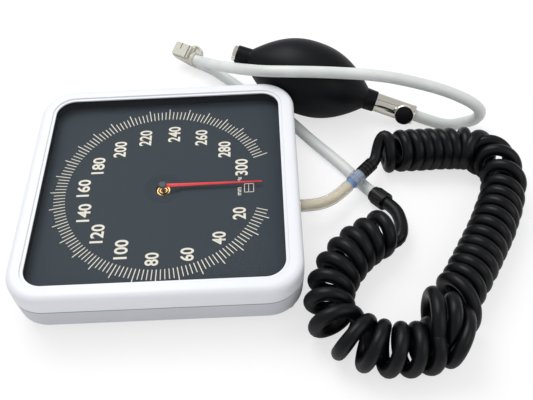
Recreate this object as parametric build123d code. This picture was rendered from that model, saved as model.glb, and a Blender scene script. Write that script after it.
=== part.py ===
from build123d import *
import math
import os

# Aneroid sphygmomanometer: a square wall and desk gauge, its coiled hose, two-tube connector and
# inflation bulb. Millimetres. +Z is up out of the dial, +X the foot of the dial, and the origin is
# the centre of the gauge's rear face, which lies on the table.

# Gauge case
CASE_SIDE = 170.0
CASE_CORNER_R = 22.0
CASE_WALL = 2.5
REAR_FLOOR_Z = 9.0
PARTING_Z = 25.3
CASE_TOP_Z = 38.64
CASE_TAPER_DEG = 4.0
REAR_EDGE_R = 3.0
FRONT_EDGE_R = 4.0
PARTING_CHAMFER = 0.5
PLATEAU_SIDE = 100.0
PLATEAU_CORNER_R = 10.0
WINDOW_SIDE = 149.6
WINDOW_CORNER_R = 12.0
WINDOW_STEP = 1.8
WINDOW_STEP_DEPTH = 1.0
RIM_DEPTH = 4.0
RIM_WIDTH = 2.0
FIT_GAP = 0.15

# What the case clamps: dial, spacer, gasket and lens, from below
DIAL_THICK = 1.0
DIAL_TOP_Z = 29.32
SPACER_WALL_INSIDE = 1.2
GASKET_THICK = 0.8
GASKET_INSIDE = 1.6
LENS_THICK = 1.8
CLAMP_GAP = 0.3
DISH_R = 12.0
DISH_FLOOR_R = 7.6
DISH_DEPTH = 1.2
DIAL_HOLE_R = 4.8

# Screws and inserts of the case
POST_R = 2.6
POST_CORNER_IN = 10.1
POST_GAP = 0.3
POST_FOOT_Z = 20.0
COLUMN_R = 3.6
SCREW_R = 1.25
SCREW_HEAD_R = 2.5
SCREW_HEAD_THICK = 1.8
SCREW_GAP = 0.05
SCREW_BITE = 8.0
HEAD_POCKET_DEPTH = 3.0
HEAD_POCKET_GAP = 0.3
INSERT_SPACING = 75.0
INSERT_R = 2.8
INSERT_BORE_R = 1.65
INSERT_LENGTH = 6.0
INSERT_SUNK = 0.2
INSERT_WALL = 1.8

# Movement, stacked on the plateau's floor
BASE_FOOT = 1.0
BASE_PLATE = 1.5
BASE_MARGIN = (3.0, 10.0)
BASE_CENTRE = (2.0, 13.0)
BASE_SCREW_IN = 3.0
GEAR_PLATE_Z = 19.0
GEAR_PLATE = 1.2
GEAR_PLATE_SIZE = (55.0, 48.0)
GEAR_PLATE_CENTRE = (3.5, 12.0)
TOP_PLATE_Z = 24.2
TOP_PLATE = 1.2
PILLAR_R = 2.2
PILLAR_IN = 4.0
PILLAR_SPIGOT_R = 1.3
LONG_SCREW_R = 0.9
LONG_SCREW_END_Z = 11.0
LONG_HEAD_R = 1.8
LONG_HEAD_THICK = 1.2
PIVOT_R = 0.8
PIVOT_GAP = 0.06
PIVOT_END_GAP = 0.3

# Gear pair
MODULE = 0.4
PINION_LEAVES = 12
SECTOR_COUNT = 120
SECTOR_TURN_DEG = 34.0
SECTOR_SPARE_TEETH = 2
SECTOR_THICK = 1.0
SECTOR_Z = 21.5
SECTOR_HUB_R = 2.2
SECTOR_RIM = 2.4
SECTOR_ARM = 1.6
LEAF_MARGIN = 0.5
LEAF_HALF = 0.24
TOOTH_HALF = 0.27
PUSH_PIN_R = 0.5
PUSH_PIN_OUT = 4.57
TAIL_HALF = 1.1

# Rocking shaft and its two arms
ROCKER_X = 1.25
ROCKER_Z = 13.5
ROCKER_R = 0.8
ROCKER_ENDS_Y = (-11.0, 36.5)
ROCKER_POSTS_Y = (-9.0, 34.5)
ROCKER_POST_WIDE = 4.0
ROCKER_POST_THICK = 2.0
ROCKER_SWING_DEG = 22.0
LIFT_ARM = 4.72
LIFT_ARM_R = 0.35
PUSH_ARM = 7.6
PUSH_ARM_HALF = 0.5
PUSH_ARM_WIDE = 3.0
ARM_HUB_R = 1.5

# Capsule
CAPSULE_CENTRE = (5.97, 12.0)
CAPSULE_R = 18.0
CAPSULE_FOOT = 2.5
CAPSULE_THICK = 3.0
CAPSULE_FLAT_R = 4.5
CAPSULE_RIM_THICK = 1.0
CAPSULE_WAVES = 6
CAPSULE_WAVE = 0.2
CAPSULE_POST_R = 4.0
BOSS_R = 2.0
BOSS_THICK = 0.7
BOSS_PIN_R = 0.6
BOSS_PIN = 0.8

# Bush, hairspring, pointer
BUSH_R = 4.05
BUSH_SPIGOT_R = 2.5
BUSH_TOP_Z = 27.3
BUSH_CUP_R = 1.9
BUSH_CUP_DEPTH = 1.0
BUSH_GROOVE = (3.1, 3.5)
BUSH_GROOVE_DEPTH = 0.7
SPRING_Z = 23.2
SPRING_TALL = 0.6
SPRING_TURNS = 4
SPRING_INNER_R = 2.1
SPRING_PITCH = 1.25
SPRING_THICK = 0.25
COLLET_R = 1.8
STUD_R = 0.7
POINTER_Z = 31.9
POINTER_THICK = 0.4
POINTER_RIDGE = 0.2
POINTER_REACH = 62.1
POINTER_BASE_HALF = 1.35
POINTER_TIP_HALF = 0.42
POINTER_HUB_R = 1.5
POINTER_HUB = 1.0
CAP_R = 2.6
CAP_THICK = 1.1

# Hoses
HOSE_R = 4.0
HOSE_BORE_R = 2.2
COIL_HOSE_R = 3.9
NIPPLE_R = 1.9
NIPPLE_RIDGE_R = 2.12
AIRWAY_R = 1.2

# Hose barb through the case's wall, and the air tube behind it
BARB_Y = -9.3
BARB_Z = 17.5
BARB_THREAD_R = 2.5
BARB_FLANGE_R = 3.8
BARB_FLANGE = 0.8
BARB_NOSE = 6.0
WALL_PAD_R = 5.5
WALL_PAD_OUT = 0.1
WALL_PAD_THICK = 4.8
BARB_INSIDE = 6.5
NUT_ACROSS = 8.0
NUT_THICK = 3.0
AIR_TUBE_R = 1.0
AIR_TUBE_BORE_R = 0.6
AIR_TUBE_FIT = 0.03
AIR_TUBE_BEND_R = 4.0

# Adapter on the gauge hose's end, and the coil's first ferrule
ADAPTER_START = Vector(117.8, 9.1, 13.2)
ADAPTER_DIR = Vector(0.710, 0.701, 0.067).normalized()
ADAPTER_R = 3.6
ADAPTER_LENGTH = 12.0
ADAPTER_NOSE = 7.0
LOCK_R = 5.0
LOCK_START = 3.6
LOCK_STEP = 0.4
SLEEVE_R = 4.6
SLEEVE_LENGTH = 12.0
SLEEVE_GROOVES = 3
SLEEVE_GROOVE = 0.5

# Collar at the coil's other end
COLLAR_START = Vector(134.6, 7.4, 6.0)
COLLAR_DIR = Vector(0.565, -0.806, 0.175).normalized()
COLLAR_R = 6.0
COLLAR_LENGTH = 12.0
COLLAR_NECK_R = 5.2
COLLAR_NECK = 1.6
COLLAR_RIBS = 24
COLLAR_RIB = 0.35

# Coil
COIL_R = 14.8
COIL_Z = 14.8

# Bulb: its axis from the intake end to the valve end
BULB_INTAKE = Vector(47.0, 116.6, 38.0)
BULB_VALVE = Vector(144.4, 86.3, 13.5)
BULB_R = 26.47
BULB_NECK_R = 4.44
BULB_BELLY = (7.3, 100.6)
BULB_WALL = 2.6
BULB_FULL_A = 2.28
BULB_FULL_B = 1.08
INTAKE_COLLAR_R = 6.4
INTAKE_COLLAR_FOOT_R = 6.75
INTAKE_COLLAR = 10.0
VALVE_COLLAR_R = 7.35
VALVE_COLLAR_FOOT_R = 7.65
VALVE_COLLAR = 7.8
NECK_BORE_R = 3.3
NECK_FIT = 0.05

# Valves in the bulb's necks
RING_R = 5.7
RING_OUT = 2.6
SPIGOT = 9.0
CHAMBER_R = 2.6
CHAMBER = 4.2
SEAT_R = 1.4
DISC_R = 2.35
DISC_THICK = 0.6
DISC_GAP = 0.05
CAGE_THICK = 1.2
CAGE_BORE_R = 1.6

# Air release valve
BARREL_R = 6.7
BARREL_SUNK = 3.0
BARREL_LENGTH = 28.6
BARREL_LIP = 0.35
VALVE_NIPPLE = 8.0
KNOB_AT = 21.0
KNOB_DIR = Vector(-0.128, -0.835, 0.535)
BONNET_R = 4.2
BONNET_OUT = 9.0
STEM_R = 2.0
STEM_TIP_R = 0.7
STEM_TIP = 2.5
STEM_FIT = 0.06
KNOB_R = 6.8
KNOB_START = 9.9
KNOB_END = 13.5
KNOB_FACE_SUNK = 0.3
KNOB_RIM = 0.7
KNURLS = 36
KNURL_R = 0.22

# Two-tube connector, in its own axes: X towards the tubes, rolled about its lower tube
CONNECTOR_AT = Vector(6.6, 153.0, 0.0)
CONNECTOR_DIR = Vector(0.86, -0.51, 0.0).normalized()
CONNECTOR_ROLL_DEG = 28.0
CONNECTOR_SIDES_Y = (-3.0, 7.8)
CONNECTOR_TOP_Z = 14.2
CONNECTOR_FOOT_Z = 1.3
CONNECTOR_NOSE_X = -9.4
CONNECTOR_END_X = 9.7
CAP_START_X = 6.3
TUBE_RING_X = 7.6
TUBE_RING_R = 5.0
TUBE_LOW_Z = 4.05
TUBE_HIGH_Z = 12.2
CONNECTOR_NIPPLE = 5.0
SOCKET_AT = (6.9, 4.4)
SOCKET_R = 6.2
SOCKET_Z = (8.8, 13.4)
SOCKET_DISH = (5.0, 1.2)
HOSE_NOTCH_R = 4.4
PORT_R = 2.2
PORT_DEPTH = 2.4
PORT_CLEAR = 0.4
LATCH_THICK = 1.8
LATCH_GAP = 0.1
LATCH_TRAVEL = 1.2
LATCH_ENDS_X = (-9.4, 4.9)
LATCH_WIDE = 10.4
LATCH_MIDDLE_Y = 3.0
RAIL_NECK_HALF = 1.5
RAIL_FOOT_HALF = 2.5
RAIL_STEP = 1.0
RAIL_ENDS_X = (-5.0, 1.5)

# Heights and places that follow from the sizes above
PLATEAU_FLOOR_Z = CASE_WALL
CASE_FLOOR_Z = REAR_FLOOR_Z + CASE_WALL
WINDOW_LIP_Z = DIAL_TOP_Z + 7.48
LENS_Z = WINDOW_LIP_Z - LENS_THICK
GASKET_Z = LENS_Z - GASKET_THICK
DIAL_Z = DIAL_TOP_Z - DIAL_THICK
INSIDE = CASE_SIDE - 2 * CASE_WALL
INSIDE_R = CASE_CORNER_R - CASE_WALL
CLAMPED = INSIDE - 2 * CLAMP_GAP
CLAMPED_R = INSIDE_R - CLAMP_GAP
POST_AT = CASE_SIDE / 2 - POST_CORNER_IN
BASE_SIZE = tuple(side + margin for side, margin in zip(GEAR_PLATE_SIZE, BASE_MARGIN))
BASE_Z = PLATEAU_FLOOR_Z + BASE_FOOT
BASE_TOP_Z = BASE_Z + BASE_PLATE
GEAR_PLATE_TOP_Z = GEAR_PLATE_Z + GEAR_PLATE
TOP_PLATE_TOP_Z = TOP_PLATE_Z + TOP_PLATE
CAPSULE_Z = BASE_TOP_Z + CAPSULE_FOOT
CAPSULE_TOP_Z = CAPSULE_Z + CAPSULE_THICK
AIR_TUBE_Z = BASE_TOP_Z + CAPSULE_FOOT / 2
PINION_PITCH_R = MODULE * PINION_LEAVES / 2
SECTOR_PITCH_R = MODULE * SECTOR_COUNT / 2
SECTOR_Y = PINION_PITCH_R + SECTOR_PITCH_R
PIVOT_HOLE_R = PIVOT_R + PIVOT_GAP
REST_LEAN_DEG = ROCKER_SWING_DEG / 2
REST_TAIL_DEG = 90.0 - SECTOR_TURN_DEG / 2
PUSH_ARM_Y = SECTOR_Y + PUSH_PIN_OUT * math.sin(math.radians(REST_TAIL_DEG))
BARB_SEAT_X = CASE_SIDE / 2 - WALL_PAD_OUT
BULB_AXIS = BULB_VALVE - BULB_INTAKE
BULB_LENGTH = BULB_AXIS.length
BULB_DIR = BULB_AXIS.normalized()
KNOB_OUT = (KNOB_DIR - BULB_DIR * KNOB_DIR.dot(BULB_DIR)).normalized()
ADAPTER_END = ADAPTER_START + ADAPTER_DIR * ADAPTER_LENGTH
SLEEVE_END = ADAPTER_END + ADAPTER_DIR * SLEEVE_LENGTH
COLLAR_END = COLLAR_START + COLLAR_DIR * COLLAR_LENGTH
NIPPLE_TIP = BARREL_LENGTH + BARREL_LIP

CORNERS = [(i, j) for i in (-1, 1) for j in (-1, 1)]


def at_z(low, high, *shapes):
    """Sketches drawn at the origin, raised from height low to height high."""
    solid = None
    for shape in shapes:
        block = extrude(Plane.XY.offset(low) * shape, high - low)
        solid = block if solid is None else solid + block
    return solid


def square(side, corner_r):
    return RectangleRounded(side, side, corner_r)


def rod(radius, start, end, bore=0.0):
    """A round rod between two points, or a tube if it has a bore."""
    start, end = Vector(start), Vector(end)
    section = Circle(radius) - Circle(bore) if bore else Circle(radius)
    return extrude(Plane(origin=start, z_dir=end - start) * section, (end - start).length)


def turned(profile, place=Plane.XY):
    """A turned piece: (radius, height) corners spun about the Z axis of its place."""
    face = make_face(Plane.XZ * Polyline(*profile, close=True))
    return place.location * revolve(face, Axis.Z)


def along(axis_start, axis_dir, distance=0.0):
    """A plane whose Z axis runs along a piece's own axis."""
    return Plane(origin=axis_start + axis_dir * distance, z_dir=axis_dir)


def nipple_profile(start, length, bore=AIRWAY_R):
    """The outline of a ridged hose nipple from height start on, with its airway."""
    ridge = length / 4
    points = [(bore, start), (NIPPLE_R, start), (NIPPLE_R, start + length - 2 * ridge)]
    for step in (2, 1):
        foot = start + length - step * ridge
        points += [(NIPPLE_RIDGE_R, foot), (NIPPLE_R - 0.2, foot + 0.9 * ridge)]
    return points + [(bore, start + length)]


def copies(solid, spots):
    """The same piece at several places, kept as separate solids."""
    return Compound(children=[Pos(x, y, 0) * solid for x, y in spots])


def bend_radii(points):
    """For each corner of a hose's route, the radius that its two runs leave room for."""
    points = [Vector(p) for p in points]
    radii = []
    for before, here, after in zip(points, points[1:], points[2:]):
        turn = math.radians((here - before).get_angle(after - here))
        run = min((here - before).length, (after - here).length)
        radii.append(0.45 * run / math.tan(turn / 2))
    return radii


def hose(name, points, radius=HOSE_R, bore=HOSE_BORE_R):
    """A hose along its route: straight runs joined by tangent arcs."""
    radii = bend_radii(points)
    path = FilletPolyline(*points, radius=radii)
    section = Circle(radius) - Circle(bore) if bore else Circle(radius)
    solid = sweep(Plane(origin=path @ 0, z_dir=path % 0) * section, path=path)
    expected = section.area * path.length
    print(f"{name}: length {path.length:.1f}, radii {[round(r, 1) for r in radii]},",
          f"volume {solid.volume / expected:.4f} of section times length")
    return solid


# Routes of the hoses and of the coil
GAUGE_HOSE_ROUTE = [
    (BARB_SEAT_X + BARB_FLANGE, BARB_Y, BARB_Z),
    (94.7, BARB_Y, BARB_Z),
    (103.4, -5.2, 15.6),
    tuple(ADAPTER_START - ADAPTER_DIR * 9.5),
    tuple(ADAPTER_START),
]
COIL_ROUTE = [
    (148.0, 37.3, COIL_Z), (172.0, 37.9, COIL_Z), (198.5, 37.2, COIL_Z),
    (214.0, 27.5, COIL_Z), (218.5, 10.5, COIL_Z), (212.5, -8.0, COIL_Z),
    (199.5, -33.5, COIL_Z), (187.0, -58.5, COIL_Z), (176.0, -81.5, COIL_Z),
    (168.0, -99.0, COIL_Z), (150.5, -111.8, COIL_Z), (128.5, -111.0, COIL_Z),
    (107.0, -103.0, COIL_Z), (97.8, -84.0, COIL_Z), (102.8, -62.5, COIL_Z),
    (113.0, -46.0, COIL_Z), (124.2, -37.0, COIL_Z), (136.0, -31.5, COIL_Z),
]
COIL_FIRST_DIR = (Vector(COIL_ROUTE[1]) - Vector(COIL_ROUTE[0])).normalized()
COIL_LAST_DIR = (Vector(COIL_ROUTE[-1]) - Vector(COIL_ROUTE[-2])).normalized()
LEAD_END = Vector(COIL_ROUTE[0]) + Vector(0, -6.2, 0.4)
COIL_LEAD_ROUTE = [
    tuple(SLEEVE_END),
    tuple(SLEEVE_END + ADAPTER_DIR * 4.2),
    tuple(LEAD_END - COIL_FIRST_DIR * 5.0),
    tuple(LEAD_END),
]
TAIL_END = Vector(COIL_ROUTE[-1])
COIL_TAIL_ROUTE = [
    tuple(COLLAR_END),
    tuple(COLLAR_END + COLLAR_DIR * 8.0),
    (147.0, -20.8, 11.5),
    tuple(TAIL_END + COIL_LAST_DIR * 7.0),
    tuple(TAIL_END),
]
CONNECTOR_UP = Vector(0, 0, 1).rotate(Axis((0, 0, 0), tuple(CONNECTOR_DIR)), CONNECTOR_ROLL_DEG)
CONNECTOR_ORIGIN = CONNECTOR_AT + Vector(0, 0, TUBE_LOW_Z) - CONNECTOR_UP * TUBE_LOW_Z
CUFF_START = CONNECTOR_AT + CONNECTOR_DIR * CONNECTOR_END_X + Vector(0, 0, TUBE_LOW_Z)
CUFF_HOSE_ROUTE = [
    tuple(COLLAR_START),
    tuple(COLLAR_START - COLLAR_DIR * 8.0),
    (122.6, 26.3, TUBE_LOW_Z), (110.9, 42.6, TUBE_LOW_Z), (97.8, 59.0, TUBE_LOW_Z),
    (87.0, 74.4, TUBE_LOW_Z), (76.5, 89.5, TUBE_LOW_Z), (62.0, 102.5, TUBE_LOW_Z),
    (49.0, 115.6, TUBE_LOW_Z), (37.4, 128.8, TUBE_LOW_Z),
    tuple(CUFF_START + CONNECTOR_DIR * 11.0),
    tuple(CUFF_START),
]
BULB_HOSE_START = BULB_VALVE + BULB_DIR * NIPPLE_TIP
BULB_HOSE_END = CUFF_START + CONNECTOR_UP * (TUBE_HIGH_Z - TUBE_LOW_Z)
BULB_HOSE_ROUTE = [
    tuple(BULB_HOSE_START),
    tuple(BULB_HOSE_START + BULB_DIR * 10.5),
    (194.4, 68.1, 4.05), (206.9, 71.2, 4.1), (212.9, 69.6, 7.4), (215.6, 68.3, 14.6),
    (212.8, 66.5, 21.6), (206.1, 67.6, 27.4), (192.7, 71.0, 33.1), (179.8, 73.1, 37.4),
    (165.4, 74.7, 41.5), (149.8, 76.2, 45.3), (133.9, 77.3, 47.6), (117.1, 77.9, 49.3),
    (99.7, 79.0, 50.3), (81.6, 80.8, 50.2), (66.1, 86.4, 46.6), (54.5, 95.5, 40.8),
    (46.0, 105.2, 34.2), (37.5, 117.2, 25.9), (28.7, 128.2, 19.0), (22.4, 136.6, 14.6),
    tuple(BULB_HOSE_END + CONNECTOR_DIR * 6.5),
    tuple(BULB_HOSE_END),
]


def make_rear_housing():
    """The rear shell: tapered walls, a raised square plateau that stands on the table, and a rim."""
    tall = PARTING_Z - REAR_FLOOR_Z
    shell = extrude(Plane.XY.offset(PARTING_Z) * square(CASE_SIDE, CASE_CORNER_R),
                    tall, dir=(0, 0, -1), taper=CASE_TAPER_DEG)
    shell = fillet(shell.faces().sort_by(Axis.Z)[0].edges(), REAR_EDGE_R)
    shell = chamfer(shell.faces().sort_by(Axis.Z)[-1].edges(), PARTING_CHAMFER)
    shell += at_z(0, CASE_FLOOR_Z, square(PLATEAU_SIDE, PLATEAU_CORNER_R))
    shell -= extrude(Plane.XY.offset(PARTING_Z) * square(INSIDE, INSIDE_R),
                     PARTING_Z - CASE_FLOOR_Z, dir=(0, 0, -1), taper=CASE_TAPER_DEG)
    hollow = PLATEAU_SIDE - 2 * CASE_WALL
    shell -= at_z(PLATEAU_FLOOR_Z, CASE_FLOOR_Z, square(hollow, PLATEAU_CORNER_R - CASE_WALL))

    tongue = INSIDE - 2 * FIT_GAP
    tongue_r = INSIDE_R - FIT_GAP
    opening = square(tongue - 2 * RIM_WIDTH, tongue_r - RIM_WIDTH)
    shell += at_z(PARTING_Z - RIM_DEPTH, PARTING_Z, square(INSIDE + 0.5, INSIDE_R) - opening)
    shell += at_z(PARTING_Z, DIAL_Z, square(tongue, tongue_r) - opening)

    insert_boss_r = INSERT_R + INSERT_WALL
    foot_spots = movement_spots(BASE_SIZE, BASE_CENTRE, BASE_SCREW_IN)
    for i, j in CORNERS:
        column = rod(COLUMN_R, (0, 0, REAR_FLOOR_Z), (0, 0, POST_FOOT_Z))
        shell += Pos(i * POST_AT, j * POST_AT, 0) * column
        boss = rod(insert_boss_r, (0, 0, CASE_WALL / 2), (0, 0, INSERT_LENGTH + CASE_WALL))
        shell += Pos(i * INSERT_SPACING / 2, j * INSERT_SPACING / 2, 0) * boss
    for x, y in foot_spots:
        shell += Pos(x, y, 0) * rod(SCREW_HEAD_R + 1, (0, 0, CASE_WALL / 2), (0, 0, BASE_Z))
    pad = rod(WALL_PAD_R, (BARB_SEAT_X - WALL_PAD_THICK, BARB_Y, BARB_Z),
              (BARB_SEAT_X, BARB_Y, BARB_Z))
    shell += pad

    pocket_top = REAR_FLOOR_Z + HEAD_POCKET_DEPTH
    for i, j in CORNERS:
        cut = rod(SCREW_HEAD_R + HEAD_POCKET_GAP, (0, 0, 0), (0, 0, pocket_top))
        cut += rod(SCREW_R + 0.2, (0, 0, 0), (0, 0, POST_FOOT_Z))
        cut += rod(POST_R + POST_GAP, (0, 0, POST_FOOT_Z), (0, 0, CASE_TOP_Z))
        shell -= Pos(i * POST_AT, j * POST_AT, 0) * cut
        hole = rod(INSERT_R + 0.02, (0, 0, 0), (0, 0, INSERT_LENGTH + 1))
        shell -= Pos(i * INSERT_SPACING / 2, j * INSERT_SPACING / 2, 0) * hole
    for x, y in foot_spots:
        shell -= Pos(x, y, 0) * rod(SCREW_R + SCREW_GAP, (0, 0, 0.8), (0, 0, BASE_Z))
    shell -= rod(BARB_THREAD_R + SCREW_GAP, (BARB_SEAT_X - 20, BARB_Y, BARB_Z),
                 (BARB_SEAT_X + 1, BARB_Y, BARB_Z))
    return shell


def make_bezel():
    """The front frame: rounded outside, stepped at the window, with four screw posts inside."""
    frame = at_z(PARTING_Z, CASE_TOP_Z, square(CASE_SIDE, CASE_CORNER_R))
    frame = fillet(frame.faces().sort_by(Axis.Z)[-1].edges(), FRONT_EDGE_R)
    frame = chamfer(frame.faces().sort_by(Axis.Z)[0].edges(), PARTING_CHAMFER)
    frame -= at_z(PARTING_Z, WINDOW_LIP_Z, square(INSIDE, INSIDE_R))
    frame -= at_z(WINDOW_LIP_Z, CASE_TOP_Z, square(WINDOW_SIDE, WINDOW_CORNER_R))
    step = square(WINDOW_SIDE + 2 * WINDOW_STEP, WINDOW_CORNER_R + WINDOW_STEP)
    frame -= at_z(CASE_TOP_Z - WINDOW_STEP_DEPTH, CASE_TOP_Z, step)
    rim = frame.faces().sort_by(Axis.Z)[-1].inner_wires()[0].edges()
    frame = fillet(rim, WINDOW_STEP_DEPTH / 2)
    for i, j in CORNERS:
        post = rod(POST_R, (0, 0, POST_FOOT_Z), (0, 0, WINDOW_LIP_Z + 0.3))
        post -= rod(SCREW_R + SCREW_GAP, (0, 0, POST_FOOT_Z), (0, 0, POST_FOOT_Z + SCREW_BITE + 1))
        frame += Pos(i * POST_AT, j * POST_AT, 0) * post
    return frame


def clamped_frame(low, high, opening_side=0.0, opening_r=0.0):
    """A layer that the case clamps, notched for the screw posts, with or without an opening."""
    sketch = square(CLAMPED, CLAMPED_R)
    if opening_side:
        sketch -= square(opening_side, opening_r)
    for i, j in CORNERS:
        sketch -= Pos(i * POST_AT, j * POST_AT) * Circle(POST_R + POST_GAP)
    return at_z(low, high, sketch)


def make_dial():
    """The dial plate, pressed into a shallow dish round its centre hole."""
    plate = clamped_frame(DIAL_Z, DIAL_TOP_Z)
    plate -= rod(DISH_R + 0.4, (0, 0, DIAL_Z), (0, 0, DIAL_TOP_Z))
    low = DIAL_Z - DISH_DEPTH
    high = DIAL_TOP_Z - DISH_DEPTH
    dish = turned([
        (DISH_R + 0.4, DIAL_TOP_Z), (DISH_R, DIAL_TOP_Z), (DISH_FLOOR_R, high),
        (DIAL_HOLE_R, high), (DIAL_HOLE_R, low), (DISH_FLOOR_R + 0.4, low),
        (DISH_R + 0.4, DIAL_Z),
    ])
    return plate + dish


def make_screw(head_r, head_thick, shank_r, head_z, tip_z):
    """A screw with its head's seat at height head_z; its tip may be above or below that."""
    way = 1 if tip_z < head_z else -1
    screw = rod(head_r, (0, 0, head_z), (0, 0, head_z + way * head_thick))
    screw += rod(shank_r, (0, 0, tip_z), (0, 0, head_z))
    slot = Box(2 * head_r, head_r / 3, head_thick / 2)
    return screw - Pos(0, 0, head_z + way * head_thick * 0.8) * slot


def movement_spots(size, centre, inset):
    """The four corner places of a movement plate."""
    return [(centre[0] + i * (size[0] / 2 - inset), centre[1] + j * (size[1] / 2 - inset))
            for i, j in CORNERS]


def make_base_plate():
    plate = at_z(BASE_Z, BASE_TOP_Z, Pos(*BASE_CENTRE) * RectangleRounded(*BASE_SIZE, 3))
    for x, y in movement_spots(BASE_SIZE, BASE_CENTRE, BASE_SCREW_IN):
        plate -= rod(SCREW_R + 0.2, (x, y, BASE_Z), (x, y, BASE_TOP_Z))
    for x, y in movement_spots(GEAR_PLATE_SIZE, GEAR_PLATE_CENTRE, PILLAR_IN):
        plate -= rod(PILLAR_SPIGOT_R + 0.02, (x, y, BASE_Z), (x, y, BASE_TOP_Z))
    plate -= rod(PILLAR_SPIGOT_R + 0.02, (*CAPSULE_CENTRE, BASE_Z), (*CAPSULE_CENTRE, BASE_TOP_Z))
    return plate


def make_arbor_plate(low, high, pinion_hole_r, notch):
    """A plate of the movement: pivot holes, screw holes and, if asked, the push arm's notch."""
    sketch = Pos(*GEAR_PLATE_CENTRE) * RectangleRounded(*GEAR_PLATE_SIZE, 4)
    sketch -= Circle(pinion_hole_r) + Pos(0, SECTOR_Y) * Circle(PIVOT_HOLE_R)
    for x, y in movement_spots(GEAR_PLATE_SIZE, GEAR_PLATE_CENTRE, PILLAR_IN):
        sketch -= Pos(x, y) * Circle(LONG_SCREW_R + SCREW_GAP)
    if notch:
        wide = 2 * (PUSH_PIN_OUT + PUSH_ARM_HALF + 1.5)
        start = SECTOR_Y + PIVOT_HOLE_R + 1.1
        sketch -= Pos(ROCKER_X / 2, start + 10) * Rectangle(wide, 20)
    return at_z(low, high, sketch)


def make_pillars(low, high, spigot):
    pillar = rod(PILLAR_R, (0, 0, low), (0, 0, high))
    if spigot:
        pillar += rod(PILLAR_SPIGOT_R, (0, 0, low - spigot), (0, 0, low))
    bore_low = low if not spigot else LONG_SCREW_END_Z - 1
    pillar -= rod(LONG_SCREW_R + SCREW_GAP, (0, 0, bore_low), (0, 0, high))
    return copies(pillar, movement_spots(GEAR_PLATE_SIZE, GEAR_PLATE_CENTRE, PILLAR_IN))


def make_bush():
    """The brass pivot bush of the pointer arbor, grooved where it shows in the dial's hole."""
    cup_z = BUSH_TOP_Z - BUSH_CUP_DEPTH
    groove_z = BUSH_TOP_Z - BUSH_GROOVE_DEPTH
    inner, outer = BUSH_GROOVE
    return turned([
        (PIVOT_HOLE_R, TOP_PLATE_Z), (BUSH_SPIGOT_R, TOP_PLATE_Z),
        (BUSH_SPIGOT_R, TOP_PLATE_TOP_Z), (BUSH_R, TOP_PLATE_TOP_Z), (BUSH_R, BUSH_TOP_Z),
        (outer, BUSH_TOP_Z), (outer, groove_z), (inner, groove_z), (inner, BUSH_TOP_Z),
        (BUSH_CUP_R, BUSH_TOP_Z), (BUSH_CUP_R, cup_z), (PIVOT_HOLE_R, cup_z),
    ])


def polar(radius, angle_deg, centre=(0.0, 0.0)):
    angle = math.radians(angle_deg)
    return (centre[0] + radius * math.cos(angle), centre[1] + radius * math.sin(angle))


def tooth_points(pitch_r, half, root, tip, angle_deg, centre=(0.0, 0.0)):
    """One gear tooth, in order of rising angle: radial flanks and a rounded tip."""
    outline = [(1.0, -root), (1.0, 0.0), (0.72, 0.55 * tip), (0.3, tip)]
    points = []
    for side in (-1, 1):
        part = []
        for share, rise in outline:
            offset = math.degrees(half * share / pitch_r)
            part.append(polar(pitch_r + rise, angle_deg + side * offset, centre))
        points += part if side < 0 else part[::-1]
    return points


def make_pinion():
    """The pointer arbor with its twelve-leaf pinion and the hairspring's collet."""
    points = []
    for leaf in range(PINION_LEAVES):
        angle = 90.0 + (leaf + 0.5) * 360.0 / PINION_LEAVES
        points += tooth_points(PINION_PITCH_R, LEAF_HALF, 1.6 * MODULE, 0.6 * MODULE, angle)
    leaves = at_z(SECTOR_Z - LEAF_MARGIN, SECTOR_Z + SECTOR_THICK + LEAF_MARGIN,
                  make_face(Polyline(*points, close=True)))
    arbor = rod(PIVOT_R, (0, 0, GEAR_PLATE_Z + PIVOT_END_GAP), (0, 0, POINTER_Z + 0.3))
    collet = rod(COLLET_R, (0, 0, SPRING_Z - 0.1), (0, 0, SPRING_Z + SPRING_TALL + 0.1))
    return arbor + leaves + collet


def make_sector():
    """The toothed sector at zero pressure: rim, three arms, hub and tail."""
    centre = (0.0, SECTOR_Y)
    pitch_deg = 360.0 / SECTOR_COUNT
    count = round(SECTOR_TURN_DEG / pitch_deg) + 2 * SECTOR_SPARE_TEETH
    first = -90.0 - (count - SECTOR_SPARE_TEETH) * pitch_deg
    outline = []
    for tooth in range(count + 1):
        outline += tooth_points(SECTOR_PITCH_R, TOOTH_HALF, 1.3 * MODULE, 1.1 * MODULE,
                                first + tooth * pitch_deg, centre)
    rim_r = SECTOR_PITCH_R - 1.3 * MODULE - SECTOR_RIM
    last = first + count * pitch_deg
    steps = 12
    outline += [polar(rim_r, last - (last - first) * k / steps, centre) for k in range(steps + 1)]
    blade = make_face(Polyline(*outline, close=True))
    for share in (0.06, 0.5, 0.94):
        angle = first + (last - first) * share
        arm = Rectangle(rim_r + 0.5, SECTOR_ARM, align=(Align.MIN, Align.CENTER))
        blade += Pos(*centre) * Rot(0, 0, angle) * arm
    tail = Rectangle(PUSH_PIN_OUT + TAIL_HALF, 2 * TAIL_HALF, align=(Align.MIN, Align.CENTER))
    blade += Pos(*centre) * Rot(0, 0, REST_TAIL_DEG) * tail
    blade += Pos(*centre) * Circle(SECTOR_HUB_R)
    solid = at_z(SECTOR_Z, SECTOR_Z + SECTOR_THICK, blade)
    solid += rod(SECTOR_HUB_R, (*centre, GEAR_PLATE_TOP_Z + PIVOT_END_GAP),
                 (*centre, TOP_PLATE_Z - 2 * PIVOT_END_GAP))
    return solid - rod(PIVOT_R, (*centre, GEAR_PLATE_Z), (*centre, TOP_PLATE_TOP_Z))


def make_push_pin():
    x, y = polar(PUSH_PIN_OUT, REST_TAIL_DEG, (0.0, SECTOR_Y))
    return rod(PUSH_PIN_R, (x, y, SECTOR_Z - 1.9), (x, y, SECTOR_Z))


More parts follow.
